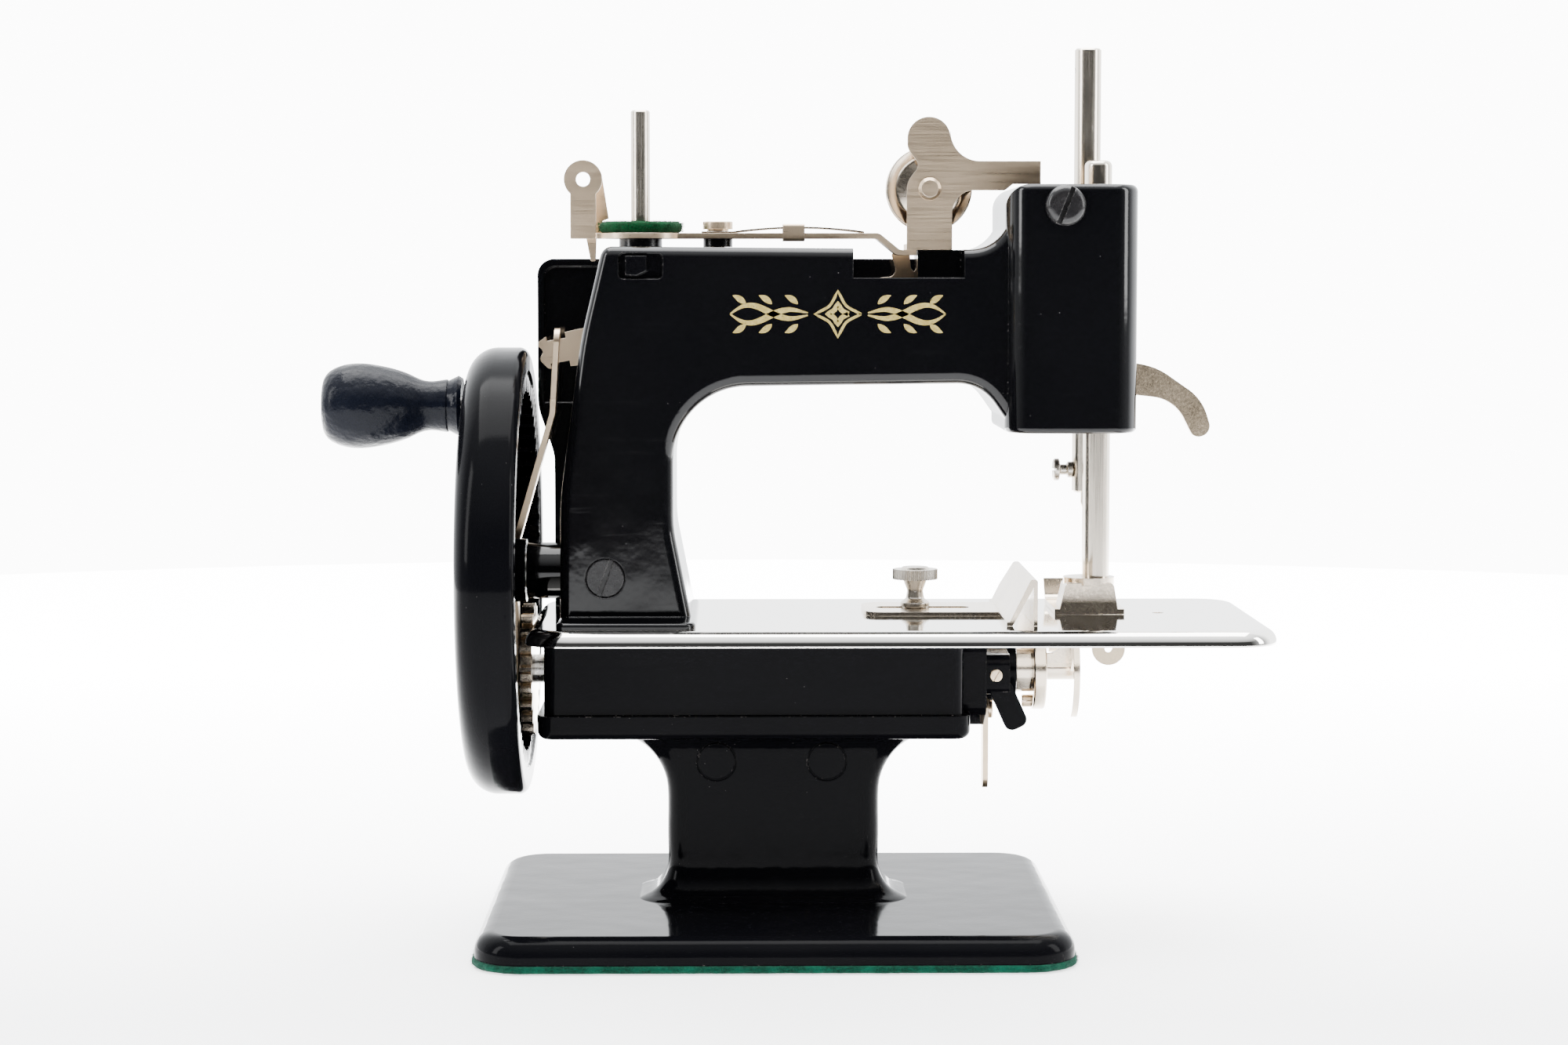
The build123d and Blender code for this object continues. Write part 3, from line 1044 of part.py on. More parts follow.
def gear_like_ring(outer, inner, ridges):
    """A knurled disc's face: straight ridges between two radii."""
    points = []
    for index in range(2 * ridges):
        radius = outer if index % 2 else inner
        angle = math.pi * index / ridges
        points.append((radius * math.cos(angle), radius * math.sin(angle)))
    return make_face(Polyline(*points, close=True))


def feed_lever():
    """The feed lever: pivoted by the bearing, its toothed dog under the presser foot."""
    pivot_y, pivot_z = FEED_PIVOT
    x0, x1, y0, y1 = FEED_SLOT
    top = BED_TOP - 0.15
    side = outline(
        (pivot_y + 2.6, pivot_z - 2.6, 2), (pivot_y + 2.6, pivot_z + 2.6, 2),
        (pivot_y - 4, 62.9, 1.5), (y1 - 0.7, 62.9, 0), (y1 - 0.7, top, 0.2), (y0 + 1.4, top, 0.2),
        (y0 + 1.4, 61.4, 0), (pivot_y - 4.5, 60.6, 1.5), (pivot_y - 2.6, pivot_z - 2.6, 2))
    lever = slab_yz(side, x0 + 0.5, x1 - 0.5)
    for step in range(7):
        groove = outline((-0.45, 0.2, 0), (0.45, 0.2, 0), (0, -0.6, 0))
        y = y0 + 2.6 + 1.5 * step
        lever -= slab_yz(Pos(y, top) * groove, x0, x1)
    return lever - rod_x(x0, x1, pivot_y, pivot_z, 1.2 + RUN)


def feed_pivot_screw():
    """The long shouldered screw, in the bearing's arm, that the feed lever rocks on."""
    right = FEED_SLOT[1] - 0.5 + 0.15
    one = HEAD_TO_RIGHT * screw(2.3, 1.2, 1.2, right - HOUSING_RIGHT + 1, 0.3, 0)
    return Pos(right, *FEED_PIVOT) * one


def stitch_regulator():
    """The flat lever that hangs below the bearing and sets the stitch length."""
    pivot_y, pivot_z = REGULATOR_PIVOT
    x0 = HOUSING_RIGHT + 3.7
    blade = outline((pivot_y - 2.4, pivot_z + 2.2, 2), (pivot_y + 2.4, pivot_z + 2.2, 2),
                    (pivot_y + 2.4, 28.0, 2.3), (pivot_y - 2.4, 28.0, 2.3))
    blade -= Pos(pivot_y, pivot_z) * Circle(1.2 + RUN)
    return slab_yz(blade, x0, x0 + 1.1)


def regulator_screw():
    right = HOUSING_RIGHT + 3.7 + 1.1 + 0.1
    one = HEAD_TO_RIGHT * screw(2.0, 0.9, 1.2, 4.5, 0.3, 30)
    return Pos(right, *REGULATOR_PIVOT) * one


def bearing_screw():
    one = HEAD_TO_FRONT * screw(1.3, 0.8, 0.8, 3.0, 0.3, 60)
    return Pos(BEARING_SCREW[0], -8, BEARING_SCREW[1]) * one


def under_bed_clip():
    """The spring clip under the bed with a round thread eye turned down at its end."""
    strip = outline((66.2, -3.2, 1), (66.2, 3.2, 1), (86.0, 3.2, 3), (86.0, -3.2, 3))
    strip -= Pos(*CLIP_SCREW) * Circle(1.2 + SEAT)
    clip = slab_xy(strip, BED_UNDER - 2.5, BED_UNDER - 1.6)
    eye = Pos(69.2, 57.9) * (Circle(3.4) - Circle(0.8))
    eye += Pos(69.2, 60.2) * Rectangle(5.4, 2.6)
    eye -= Pos(69.2, 57.9) * Circle(0.8)
    return clip + slab_xz(eye, -3.2, -2.3)


def clip_screw():
    one = HEAD_DOWN * screw(2.2, 1.2, 1.2, 3.4, 0.4, 10)
    return Pos(*CLIP_SCREW, BED_UNDER - 2.5) * one


NODES = (
    base_felt, base_casting, bed_plate, pillar_screws,
    arm_casting, arm_back_cover, cover_screws, head_screw, head_side_screw, axle_lock_screw,
    wheel_axle, axle_end_screw, handwheel, knob_stud, crank_knob,
    pinion_gear, crank_pin, looper_shaft, shaft_collar, feed_cam, cam_screws, looper,
    drive_link, needle_lever, lever_pivot_pin, lever_spacer,
    needle_bar, needle_bar_stud, needle, needle_clamp_screw,
    presser_bar, presser_collar, presser_spring, presser_lifter, lifter_pin, presser_foot,
    top_plate, plate_spacers, spool_pin, spool_felt, tension_spring, tension_screw,
    tension_clip, tension_bracket, bracket_screw, pulley_axle, tension_pulley,
    cloth_guide, guide_thumb_screw, feed_lever, feed_pivot_screw,
    stitch_regulator, regulator_screw, bearing_screw, under_bed_clip, clip_screw,
)

os.makedirs("parts", exist_ok=True)
for node in NODES:
    shape = node()
    if isinstance(shape, list):
        shape = Compound(children=shape)
    export_step(shape, f"parts/{node.__name__}.step")
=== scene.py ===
import math
import random

import bpy
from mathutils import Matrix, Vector, noise


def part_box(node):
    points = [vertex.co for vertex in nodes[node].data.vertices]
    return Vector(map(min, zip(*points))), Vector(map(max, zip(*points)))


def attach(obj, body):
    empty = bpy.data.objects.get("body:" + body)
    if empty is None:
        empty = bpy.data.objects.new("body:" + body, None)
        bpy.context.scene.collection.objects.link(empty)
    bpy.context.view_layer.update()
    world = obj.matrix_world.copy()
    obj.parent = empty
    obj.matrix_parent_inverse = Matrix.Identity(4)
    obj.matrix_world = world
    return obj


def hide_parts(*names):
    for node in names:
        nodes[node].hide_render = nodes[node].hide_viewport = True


# A child's hand-cranked sewing machine on a pale studio floor. Metres, +Z up, the frame of the CAD part.

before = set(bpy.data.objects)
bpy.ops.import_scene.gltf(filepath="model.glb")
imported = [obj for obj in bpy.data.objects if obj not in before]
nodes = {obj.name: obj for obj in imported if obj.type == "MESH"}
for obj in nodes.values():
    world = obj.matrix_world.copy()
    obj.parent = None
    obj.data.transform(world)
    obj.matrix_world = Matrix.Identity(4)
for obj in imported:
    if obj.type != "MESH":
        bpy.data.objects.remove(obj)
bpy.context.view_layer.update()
MM = 0.001

CAMERA_PLACE = (-5.8 * MM, -645.5 * MM, 134.2 * MM)
CAMERA_LENS = 72
CAMERA_PITCH = 4.46
CAMERA_YAW = -0.716
BACKDROP_STRENGTH = 12.0
FLOOR_GLOW = 12.0
FLOOR_RADIUS = 0.85
FLOOR_DROP = 0.2 * MM
ARM_FACE_Y = -18.0 * MM
BASE_FELT_CORNER = 10.4 * MM
FIBRE_WIDTH = 0.055 * MM
BASE_FIBRES = 5200
SPOOL_FIBRES = 3600


# ---------------------------------------------------------------- camera, floor and light

def place_camera():
    """Level with the arm, a little left of the middle and looking slightly down."""
    data = bpy.data.cameras.new("camera")
    data.lens = CAMERA_LENS
    data.sensor_width = 36
    data.clip_start = 0.01
    data.clip_end = 50
    camera = bpy.data.objects.new("camera", data)
    bpy.context.scene.collection.objects.link(camera)
    camera.location = CAMERA_PLACE
    camera.rotation_euler = (math.radians(90 - CAMERA_PITCH), 0, math.radians(CAMERA_YAW))
    bpy.context.scene.camera = camera


class Graph:
    """A material or world node tree, with short calls for the nodes used here."""

    def __init__(self, tree):
        self.tree = tree
        tree.nodes.clear()

    def node(self, kind, inputs=(), **settings):
        made = self.tree.nodes.new(kind)
        for name, value in settings.items():
            setattr(made, name, value)
        for name, value in dict(inputs).items():
            self.feed(made.inputs[name], value)
        return made

    def feed(self, socket, value):
        if isinstance(value, bpy.types.NodeSocket):
            self.tree.links.new(value, socket)
        else:
            socket.default_value = value

    def math(self, operation, a, b=0.0, clamp=False):
        return self.node("ShaderNodeMath", {0: a, 1: b}, operation=operation, use_clamp=clamp).outputs[0]

    def ramp(self, value, low, high, out_low=0.0, out_high=1.0):
        made = self.node("ShaderNodeMapRange", {"Value": value, "From Min": low, "From Max": high,
                                                "To Min": out_low, "To Max": out_high}, clamp=True)
        return made.outputs["Result"]

    def mix(self, share, a, b):
        made = self.node("ShaderNodeMix", data_type="RGBA")
        self.feed(made.inputs["Factor"], share)
        self.feed(made.inputs["A"], a)
        self.feed(made.inputs["B"], b)
        return made.outputs["Result"]

    def grain(self, place, scale, detail=2.0, roughness=0.5):
        made = self.node("ShaderNodeTexNoise", {"Vector": place, "Scale": scale, "Detail": detail,
                                                "Roughness": roughness})
        return made.outputs["Fac"]

    def cells(self, place, scale):
        return self.node("ShaderNodeTexVoronoi", {"Vector": place, "Scale": scale}).outputs["Distance"]

    def stretched(self, place, factors):
        return self.node("ShaderNodeMapping", {"Vector": place, "Scale": factors}).outputs["Vector"]

    def bump(self, height, depth, under=None):
        made = self.node("ShaderNodeBump", {"Height": height, "Distance": depth, "Strength": 1.0})
        if under is not None:
            self.feed(made.inputs["Normal"], under)
        return made.outputs["Normal"]


def light_the_room():
    """White behind and overhead, dim in front, so that black enamel stays black."""
    world = bpy.data.worlds.new("studio")
    bpy.context.scene.world = world
    world.use_nodes = True
    g = Graph(world.node_tree)
    place = g.node("ShaderNodeTexCoord").outputs["Generated"]
    axes = g.node("ShaderNodeSeparateXYZ", {"Vector": place})
    behind = g.ramp(axes.outputs["Y"], -0.15, 0.35, 0.0, 4.6)
    beside = g.ramp(axes.outputs["Y"], -0.70, -0.15, 0.06, 1.0)
    above = g.ramp(axes.outputs["Z"], 0.35, 0.9, 0.0, 3.0)
    strength = g.math("MAXIMUM", g.math("MAXIMUM", behind, beside), above)
    seen = g.node("ShaderNodeLightPath").outputs["Is Camera Ray"]
    room = g.node("ShaderNodeBackground", {"Color": (0.96, 0.98, 1.0, 1), "Strength": strength})
    plain = g.node("ShaderNodeBackground", {"Color": (1.0, 1.0, 1.0, 1), "Strength": BACKDROP_STRENGTH})
    both = g.node("ShaderNodeMixShader", {0: seen, 1: room.outputs[0], 2: plain.outputs[0]})
    g.node("ShaderNodeOutputWorld", {"Surface": both.outputs[0]})


def softbox(name, place, aim, size, watts, tint=(1, 1, 1)):
    data = bpy.data.lights.new(name, "AREA")
    data.shape = "RECTANGLE"
    data.size, data.size_y = size
    data.energy = watts
    data.color = tint
    light = bpy.data.objects.new(name, data)
    bpy.context.scene.collection.objects.link(light)
    light.location = place
    light.rotation_euler = (Vector(aim) - Vector(place)).to_track_quat("-Z", "Y").to_euler()


def make_floor():
    """A round white table top under the machine, with a painted glow: it emits its own light, dim in front
    and rising to full behind.
    """
    rings, sides = 24, 96
    points = [(0, 0, -FLOOR_DROP)]
    for ring in range(1, rings + 1):
        for side in range(sides):
            angle = 2 * math.pi * side / sides
            reach = FLOOR_RADIUS * ring / rings
            points.append((reach * math.cos(angle), reach * math.sin(angle), -FLOOR_DROP))
    faces = [(0, 1 + side, 1 + (side + 1) % sides) for side in range(sides)]
    for ring in range(rings - 1):
        inner, outer = 1 + ring * sides, 1 + (ring + 1) * sides
        for side in range(sides):
            after = (side + 1) % sides
            faces.append((inner + side, outer + side, outer + after, inner + after))
    floor = mesh_object("floor", points, faces)
    material = bpy.data.materials.new("white_table_painted_glow")
    material.use_nodes = True
    g = Graph(material.node_tree)
    place = g.node("ShaderNodeTexCoord").outputs["Object"]
    fine = g.grain(place, 300)
    axes = g.node("ShaderNodeSeparateXYZ", {"Vector": place})
    # painted glow: the floor emits its own light, a tenth of full strength in front of the machine, rising
    # to full strength behind it
    painted_glow_share = g.ramp(axes.outputs["Y"], -0.08, 0.42, 0.10, 1.0)
    colour = g.mix(fine, (0.92, 0.92, 0.925, 1), (0.96, 0.96, 0.965, 1))
    shader = g.node("ShaderNodeBsdfPrincipled", {"Base Color": colour, "Roughness": 0.55,
                                                 "Specular IOR Level": 0.25,
                                                 "Emission Color": (1, 1, 1, 1),
                                                 "Emission Strength": g.math("MULTIPLY", painted_glow_share, FLOOR_GLOW)})
    g.node("ShaderNodeOutputMaterial", {"Surface": shader.outputs[0]})
    floor.data.materials.append(material)


def mesh_object(name, points, faces, smooth=True):
    data = bpy.data.meshes.new(name)
    data.from_pydata(points, [], faces)
    data.update()
    if smooth:
        data.shade_smooth()
    made = bpy.data.objects.new(name, data)
    bpy.context.scene.collection.objects.link(made)
    return made


# ---------------------------------------------------------------- materials

def start_material(name):
    material = bpy.data.materials.new(name)
    material.use_nodes = True
    g = Graph(material.node_tree)
    place = g.node("ShaderNodeTexCoord").outputs["Object"]
    return material, g, place


def finish_material(g, inputs):
    shader = g.node("ShaderNodeBsdfPrincipled", inputs)
    g.node("ShaderNodeOutputMaterial", {"Surface": shader.outputs[0]})


def edge_mask(g, radius, low, high):
    """Where the surface turns sharply: the rounded normal leaves the true one."""
    rounded = g.node("ShaderNodeBevel", {"Radius": radius}, samples=4).outputs["Normal"]
    true = g.node("ShaderNodeNewGeometry").outputs["Normal"]
    dot = g.node("ShaderNodeVectorMath", {0: rounded, 1: true}, operation="DOT_PRODUCT").outputs["Value"]
    return rounded, g.ramp(dot, high, low)


def enamel(name, gloss, haze, lumps, wear, shine):
    """Stoved black enamel: orange peel, dust nibs, smears, and chips along its edges."""
    material, g, place = start_material(name)
    rounded, edges = edge_mask(g, 0.35 * MM, 0.90, 0.995)
    chips = g.ramp(g.grain(place, 1400, 4, 0.6), 0.60, 0.66)
    worn = g.math("MULTIPLY", g.math("MULTIPLY", edges, chips), wear)
    nibs = g.ramp(g.cells(place, 420), 0.055, 0.03)
    nibs = g.math("MULTIPLY", nibs, g.ramp(g.grain(place, 90), 0.52, 0.6))
    tone = g.mix(g.grain(place, 35, 3), (0.0012, 0.0013, 0.0019, 1), (0.0030, 0.0030, 0.0036, 1))
    dusty = g.math("MULTIPLY", nibs, 0.35)
    tone = g.mix(dusty, tone, (0.16, 0.155, 0.15, 1))
    tone = g.mix(worn, tone, (0.11, 0.10, 0.095, 1))
    smear = g.ramp(g.grain(place, 28, 4, 0.6), 0.40, 0.72, gloss, gloss + haze)
    scratch_place = g.stretched(place, (60, 900, 900))
    scratches = g.ramp(g.grain(scratch_place, 1.0, 3), 0.63, 0.70)
    rough = g.math("ADD", smear, g.math("MULTIPLY", scratches, 0.06))
    rough = g.math("ADD", rough, g.math("MULTIPLY", worn, 0.3), clamp=True)
    normal = g.bump(g.grain(place, 620, 1), 0.006 * MM * lumps, rounded)
    normal = g.bump(g.grain(place, 85, 1), 0.09 * MM * lumps, normal)
    normal = g.bump(g.math("ADD", nibs, g.math("MULTIPLY", worn, -1.0)), 0.02 * MM, normal)
    finish_material(g, {"Base Color": tone, "Roughness": rough, "Normal": normal,
                        "Specular IOR Level": shine})
    return material


def plated(name, tint, dull_tint, low, high, tarnish, brush=None):
    """Nickel plate over steel: fine brushing or polish, cloudy patches and dark specks."""
    material, g, place = start_material(name)
    rounded, edges = edge_mask(g, 0.15 * MM, 0.90, 0.99)
    clouds = g.ramp(g.grain(place, 140, 4, 0.6), 0.38, 0.70)
    specks = g.ramp(g.cells(place, 700), 0.07, 0.03)
    specks = g.math("MULTIPLY", specks, g.ramp(g.grain(place, 160), 0.50, 0.62))
    stain = g.math("ADD", g.math("MULTIPLY", clouds, tarnish), g.math("MULTIPLY", specks, 0.35), clamp=True)
    lines_place = g.stretched(place, brush or (2200, 2200, 2200))
    lines = g.grain(lines_place, 1.0, 3, 0.6)
    colour = g.mix(stain, tint, dull_tint)
    colour = g.mix(g.math("MULTIPLY", edges, 0.25), colour, (0.9, 0.88, 0.84, 1))
    rough = g.math("ADD", g.ramp(lines, 0.3, 0.7, low, high), g.math("MULTIPLY", stain, 0.18), clamp=True)
    normal = g.bump(lines, (0.0007 if brush else 0.0003) * MM, rounded)
    normal = g.bump(g.grain(place, 120, 1), 0.006 * MM, normal)
    finish_material(g, {"Base Color": colour, "Metallic": 1.0, "Roughness": rough, "Normal": normal})
    return material


def blacked_steel(name):
    """Screws painted with the castings: rubbed bright on their slots and rims."""
    material, g, place = start_material(name)
    rounded, edges = edge_mask(g, 0.25 * MM, 0.88, 0.99)
    rubbed = g.math("MULTIPLY", edges, g.ramp(g.grain(place, 1500, 3), 0.47, 0.62))
    tone = g.mix(g.grain(place, 300, 3), (0.006, 0.006, 0.007, 1), (0.014, 0.013, 0.013, 1))
    tone = g.mix(g.math("MULTIPLY", rubbed, 0.8), tone, (0.16, 0.15, 0.14, 1))
    rough = g.ramp(g.grain(place, 500, 3), 0.35, 0.7, 0.16, 0.36)
    normal = g.bump(g.grain(place, 700, 2), 0.015 * MM, rounded)
    finish_material(g, {"Base Color": tone, "Roughness": rough, "Normal": normal,
                        "Specular IOR Level": 0.35})
    return material


def painted_wood(name):
    """Thick black paint over a turned handle: runs, brush ridges and wood grain below."""
    material, g, place = start_material(name)
    grain = g.grain(g.stretched(place, (90, 1100, 1100)), 1.0, 4, 0.6)
    blobs = g.grain(place, 330, 2)
    rings = g.grain(g.stretched(place, (700, 60, 60)), 1.0, 2)
    worn = g.ramp(g.grain(place, 260, 4, 0.65), 0.69, 0.75)
    tone = g.mix(g.grain(place, 80, 3), (0.002, 0.0025, 0.005, 1), (0.005, 0.006, 0.010, 1))
    tone = g.mix(g.math("MULTIPLY", worn, 0.3), tone, (0.06, 0.045, 0.035, 1))
    rough = g.ramp(g.grain(place, 220, 3), 0.3, 0.7, 0.13, 0.33)
    normal = g.bump(blobs, 0.28 * MM)
    normal = g.bump(g.grain(place, 950, 3, 0.6), 0.09 * MM, normal)
    normal = g.bump(rings, 0.03 * MM, normal)
    normal = g.bump(grain, 0.03 * MM, normal)
    finish_material(g, {"Base Color": tone, "Roughness": rough, "Normal": normal,
                        "Specular IOR Level": 0.09})
    return material


def felt(name, dark, mid, pale):
    """Pressed wool felt: matted fibres lying every way, with paler tips."""
    material, g, place = start_material(name)
    fibres = g.grain(g.stretched(place, (3800, 1300, 2600)), 1.0, 5, 0.7)
    crossing = g.grain(g.stretched(place, (1200, 4200, 2600)), 1.0, 5, 0.7)
    mat = g.math("MAXIMUM", fibres, crossing)
    patches = g.grain(place, 190, 3)
    colour = g.mix(g.ramp(mat, 0.45, 0.75), dark, mid)
    colour = g.mix(g.math("MULTIPLY", g.ramp(patches, 0.45, 0.7), 0.45), colour, pale)
    normal = g.bump(mat, 0.22 * MM)
    normal = g.bump(patches, 0.25 * MM, normal)
    finish_material(g, {"Base Color": colour, "Roughness": 0.95, "Normal": normal,
                        "Specular IOR Level": 0.05, "Sheen Weight": 0.08, "Sheen Roughness": 0.5})
    return material


def gilt(name):
    """A gold transfer with its edges flaked and its face rubbed."""
    material, g, place = start_material(name)
    flakes = g.grain(place, 1700, 4, 0.7)
    colour = g.mix(g.ramp(flakes, 0.4, 0.7), (0.36, 0.27, 0.07, 1), (0.50, 0.41, 0.15, 1))
    colour = g.mix(g.ramp(g.grain(place, 3600, 2), 0.62, 0.68), colour, (0.05, 0.045, 0.03, 1))
    rough = g.ramp(flakes, 0.3, 0.7, 0.32, 0.5)
    normal = g.bump(flakes, 0.01 * MM)
    finish_material(g, {"Base Color": colour, "Metallic": 0.35, "Roughness": rough, "Normal": normal})
    return material


def make_materials():
    bright = (0.86, 0.84, 0.80, 1)
    warm = (0.64, 0.50, 0.35, 1)
    brown = (0.40, 0.33, 0.26, 1)
    grey = (0.52, 0.49, 0.45, 1)
    return {
        "enamel": enamel("black_enamel", 0.055, 0.06, 1.0, 0.8, 0.26),
        "enamel_satin": enamel("black_enamel_base", 0.06, 0.10, 1.3, 0.9, 0.028),
        "bright": plated("polished_nickel", (0.68, 0.58, 0.46, 1), grey, 0.12, 0.22, 0.35),
        "mirror": plated("mirror_nickel", bright, grey, 0.035, 0.07, 0.08),
        "bars": plated("ground_bar", (0.72, 0.65, 0.55, 1), grey, 0.14, 0.26, 0.15, brush=(3600, 3600, 60)),
        "satin": plated("brushed_nickel", warm, brown, 0.26, 0.38, 0.22, brush=(70, 3800, 3800)),
        "knurled": plated("knurled_nickel", (0.56, 0.52, 0.46, 1), brown, 0.22, 0.34, 0.3),
        "tarnished": plated("tarnished_nickel", (0.46, 0.37, 0.26, 1), (0.36, 0.30, 0.23, 1),
                            0.16, 0.26, 0.35),
        "steel": plated("plain_steel", (0.62, 0.61, 0.59, 1), (0.34, 0.31, 0.28, 1), 0.22, 0.36, 0.22),
        "black_steel": blacked_steel("blacked_steel"),
        "wood": painted_wood("black_painted_wood"),
        "felt_base": felt("base_felt_wool", (0.0002, 0.018, 0.010, 1), (0.0004, 0.060, 0.034, 1),
                          (0.001, 0.105, 0.060, 1)),
        "felt_spool": felt("spool_felt_wool", (0.0002, 0.022, 0.006, 1), (0.0004, 0.072, 0.020, 1),
                           (0.001, 0.125, 0.038, 1)),
        "gilt": gilt("gold_transfer"),
    }


LOOKS = {
    "enamel": ["arm_casting", "arm_back_cover"],
    "enamel_satin": ["base_casting", "handwheel"],
    "mirror": ["bed_plate"],
    "bright": ["pinion_gear", "feed_cam", "looper", "tension_pulley", "cloth_guide",
               "crank_pin", "needle", "tension_spring", "presser_foot"],
    "bars": ["needle_bar", "presser_bar", "spool_pin"],
    "satin": ["tension_bracket", "tension_clip", "top_plate", "drive_link", "needle_lever",
              "stitch_regulator", "feed_lever", "tension_screw", "pulley_axle", "bracket_screw",
              "clip_screw", "bearing_screw", "cam_screws", "feed_pivot_screw", "regulator_screw"],
    "knurled": ["guide_thumb_screw", "needle_clamp_screw"],
    "tarnished": ["presser_lifter", "presser_collar", "under_bed_clip"],
    "steel": ["pillar_screws", "knob_stud", "looper_shaft", "shaft_collar", "lever_pivot_pin",
              "lever_spacer", "needle_bar_stud", "presser_spring", "lifter_pin", "wheel_axle"],
    "black_steel": ["head_screw", "head_side_screw", "axle_lock_screw", "axle_end_screw",
                    "cover_screws", "plate_spacers"],
    "wood": ["crank_knob"],
    "felt_base": ["base_felt"],
    "felt_spool": ["spool_felt"],
}


def dress_nodes(materials):
    for look, names in LOOKS.items():
        for name in names:
            data = nodes[name].data
            data.materials.clear()
            data.materials.append(materials[look])


# ---------------------------------------------------------------- felt

def fibre(points, faces, root, out, length, draw):
    """One curled wool fibre: a narrow ribbon in three steps that bends as it leaves the felt."""
    side = Vector((draw.uniform(-1, 1), draw.uniform(-1, 1), draw.uniform(-1, 1)))
    side = side.cross(out).normalized() * FIBRE_WIDTH / 2
    bend = Vector((draw.uniform(-1, 1), draw.uniform(-1, 1), draw.uniform(-0.8, 0.8))) * length * 0.55
    first = len(points)
    for step in range(4):
        t = step / 3
        middle = root + out * (length * t * (1 - 0.35 * t)) + bend * t * t
        middle.z = max(middle.z, 0.00003)
        width = 1 - 0.75 * t
        points.append(tuple(middle - side * width))
        points.append(tuple(middle + side * width))
    for step in range(3):
        a = first + 2 * step
        faces.append((a, a + 1, a + 3, a + 2))


def ripple(x, y, z, size, depth):
    return noise.noise(Vector((x, y, z)) / size) * depth


def rounded_rectangle(half_x, half_y, corner, count):
    """count points spread evenly round a rectangle with round corners."""
    straight_x, straight_y = 2 * (half_x - corner), 2 * (half_y - corner)
    arc = math.pi * corner / 2
    runs = [("line", straight_y, (half_x, -straight_y / 2), (0, 1)),
            ("arc", arc, (half_x - corner, half_y - corner), 0),
            ("line", straight_x, (straight_x / 2, half_y), (-1, 0)),
            ("arc", arc, (corner - half_x, half_y - corner), 90),
            ("line", straight_y, (-half_x, straight_y / 2), (0, -1)),
            ("arc", arc, (corner - half_x, corner - half_y), 180),
            ("line", straight_x, (-straight_x / 2, -half_y), (1, 0)),
            ("arc", arc, (half_x - corner, corner - half_y), 270)]
    total = sum(run[1] for run in runs)
    points = []
    for index in range(count):
        along = total * index / count
        for kind, length, start, turn in runs:
            if along <= length:
                break
            along -= length
        if kind == "line":
            points.append((start[0] + turn[0] * along, start[1] + turn[1] * along))
        else:
            angle = math.radians(turn) + along / corner
            points.append((start[0] + corner * math.cos(angle), start[1] + corner * math.sin(angle)))
    return points


def base_felt(material):
    """The sheet of felt glued under the base, cut by hand a little proud of the casting."""
    low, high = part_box("base_felt")
    half_x, half_y = (high.x - low.x) / 2, (high.y - low.y) / 2
    top = high.z - 0.03 * MM
    count = 720
    rim = rounded_rectangle(half_x, half_y, BASE_FELT_CORNER, count)
    # Each layer is (inset from the cut edge, height); the inner ones close the faces.
    layers = [(30 * MM, 0.06 * MM), (6 * MM, 0.05 * MM), (1.2 * MM, 0.03 * MM), (0.35 * MM, 0.08 * MM),
              (0.05 * MM, 0.45 * MM), (0.0, 0.85 * MM), (0.08 * MM, 1.2 * MM), (0.4 * MM, top - 0.05 * MM),
              (1.2 * MM, top), (6 * MM, top), (30 * MM, top)]
    points, faces = [], []
    for inset, height in layers:
        for x, y in rim:
            wander = ripple(x, y, 0, 6 * MM, 0.30 * MM) + ripple(x, y, height, 1.1 * MM, 0.16 * MM)
            scale_x = 1 - (inset - wander) / half_x
            scale_y = 1 - (inset - wander) / half_y
            lift = ripple(x, y, 9 * MM, 1.5 * MM, 0.10 * MM) if 0.1 * MM < height < top - 0.1 * MM else 0
            points.append((x * scale_x, y * scale_y, height + lift))
    for layer in range(len(layers) - 1):
        a, b = layer * count, (layer + 1) * count
        for index in range(count):
            after = (index + 1) % count
            faces.append((a + index, a + after, b + after, b + index))
    faces.append(tuple(reversed(range(count))))
    faces.append(tuple(range((len(layers) - 1) * count, len(layers) * count)))
    sheet = mesh_object("base_felt_sheet", points, faces)
    sheet.data.materials.append(material)
    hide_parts("base_felt")
    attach(sheet, "frame")

    draw = random.Random(41)
    hair_points, hair_faces = [], []
    for _ in range(BASE_FIBRES):
        where = draw.random() * count
        x, y = rim[int(where)]
        after = rim[(int(where) + 1) % count]
        out = Vector((after[1] - y, x - after[0], 0)).normalized()
        height = draw.uniform(0.12, 1.35) * MM
        root = Vector((x, y, height)) - out * 0.15 * MM
        lean = Vector((draw.uniform(-0.9, 0.9), draw.uniform(-0.9, 0.9), draw.uniform(-0.5, 0.35)))
        fibre(hair_points, hair_faces, root, (out + lean * 0.8).normalized(),
              draw.uniform(0.35, 1.0) * MM, draw)
    fuzz = mesh_object("base_felt_fuzz", hair_points, hair_faces)
    fuzz.data.materials.append(material)
    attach(fuzz, "frame")


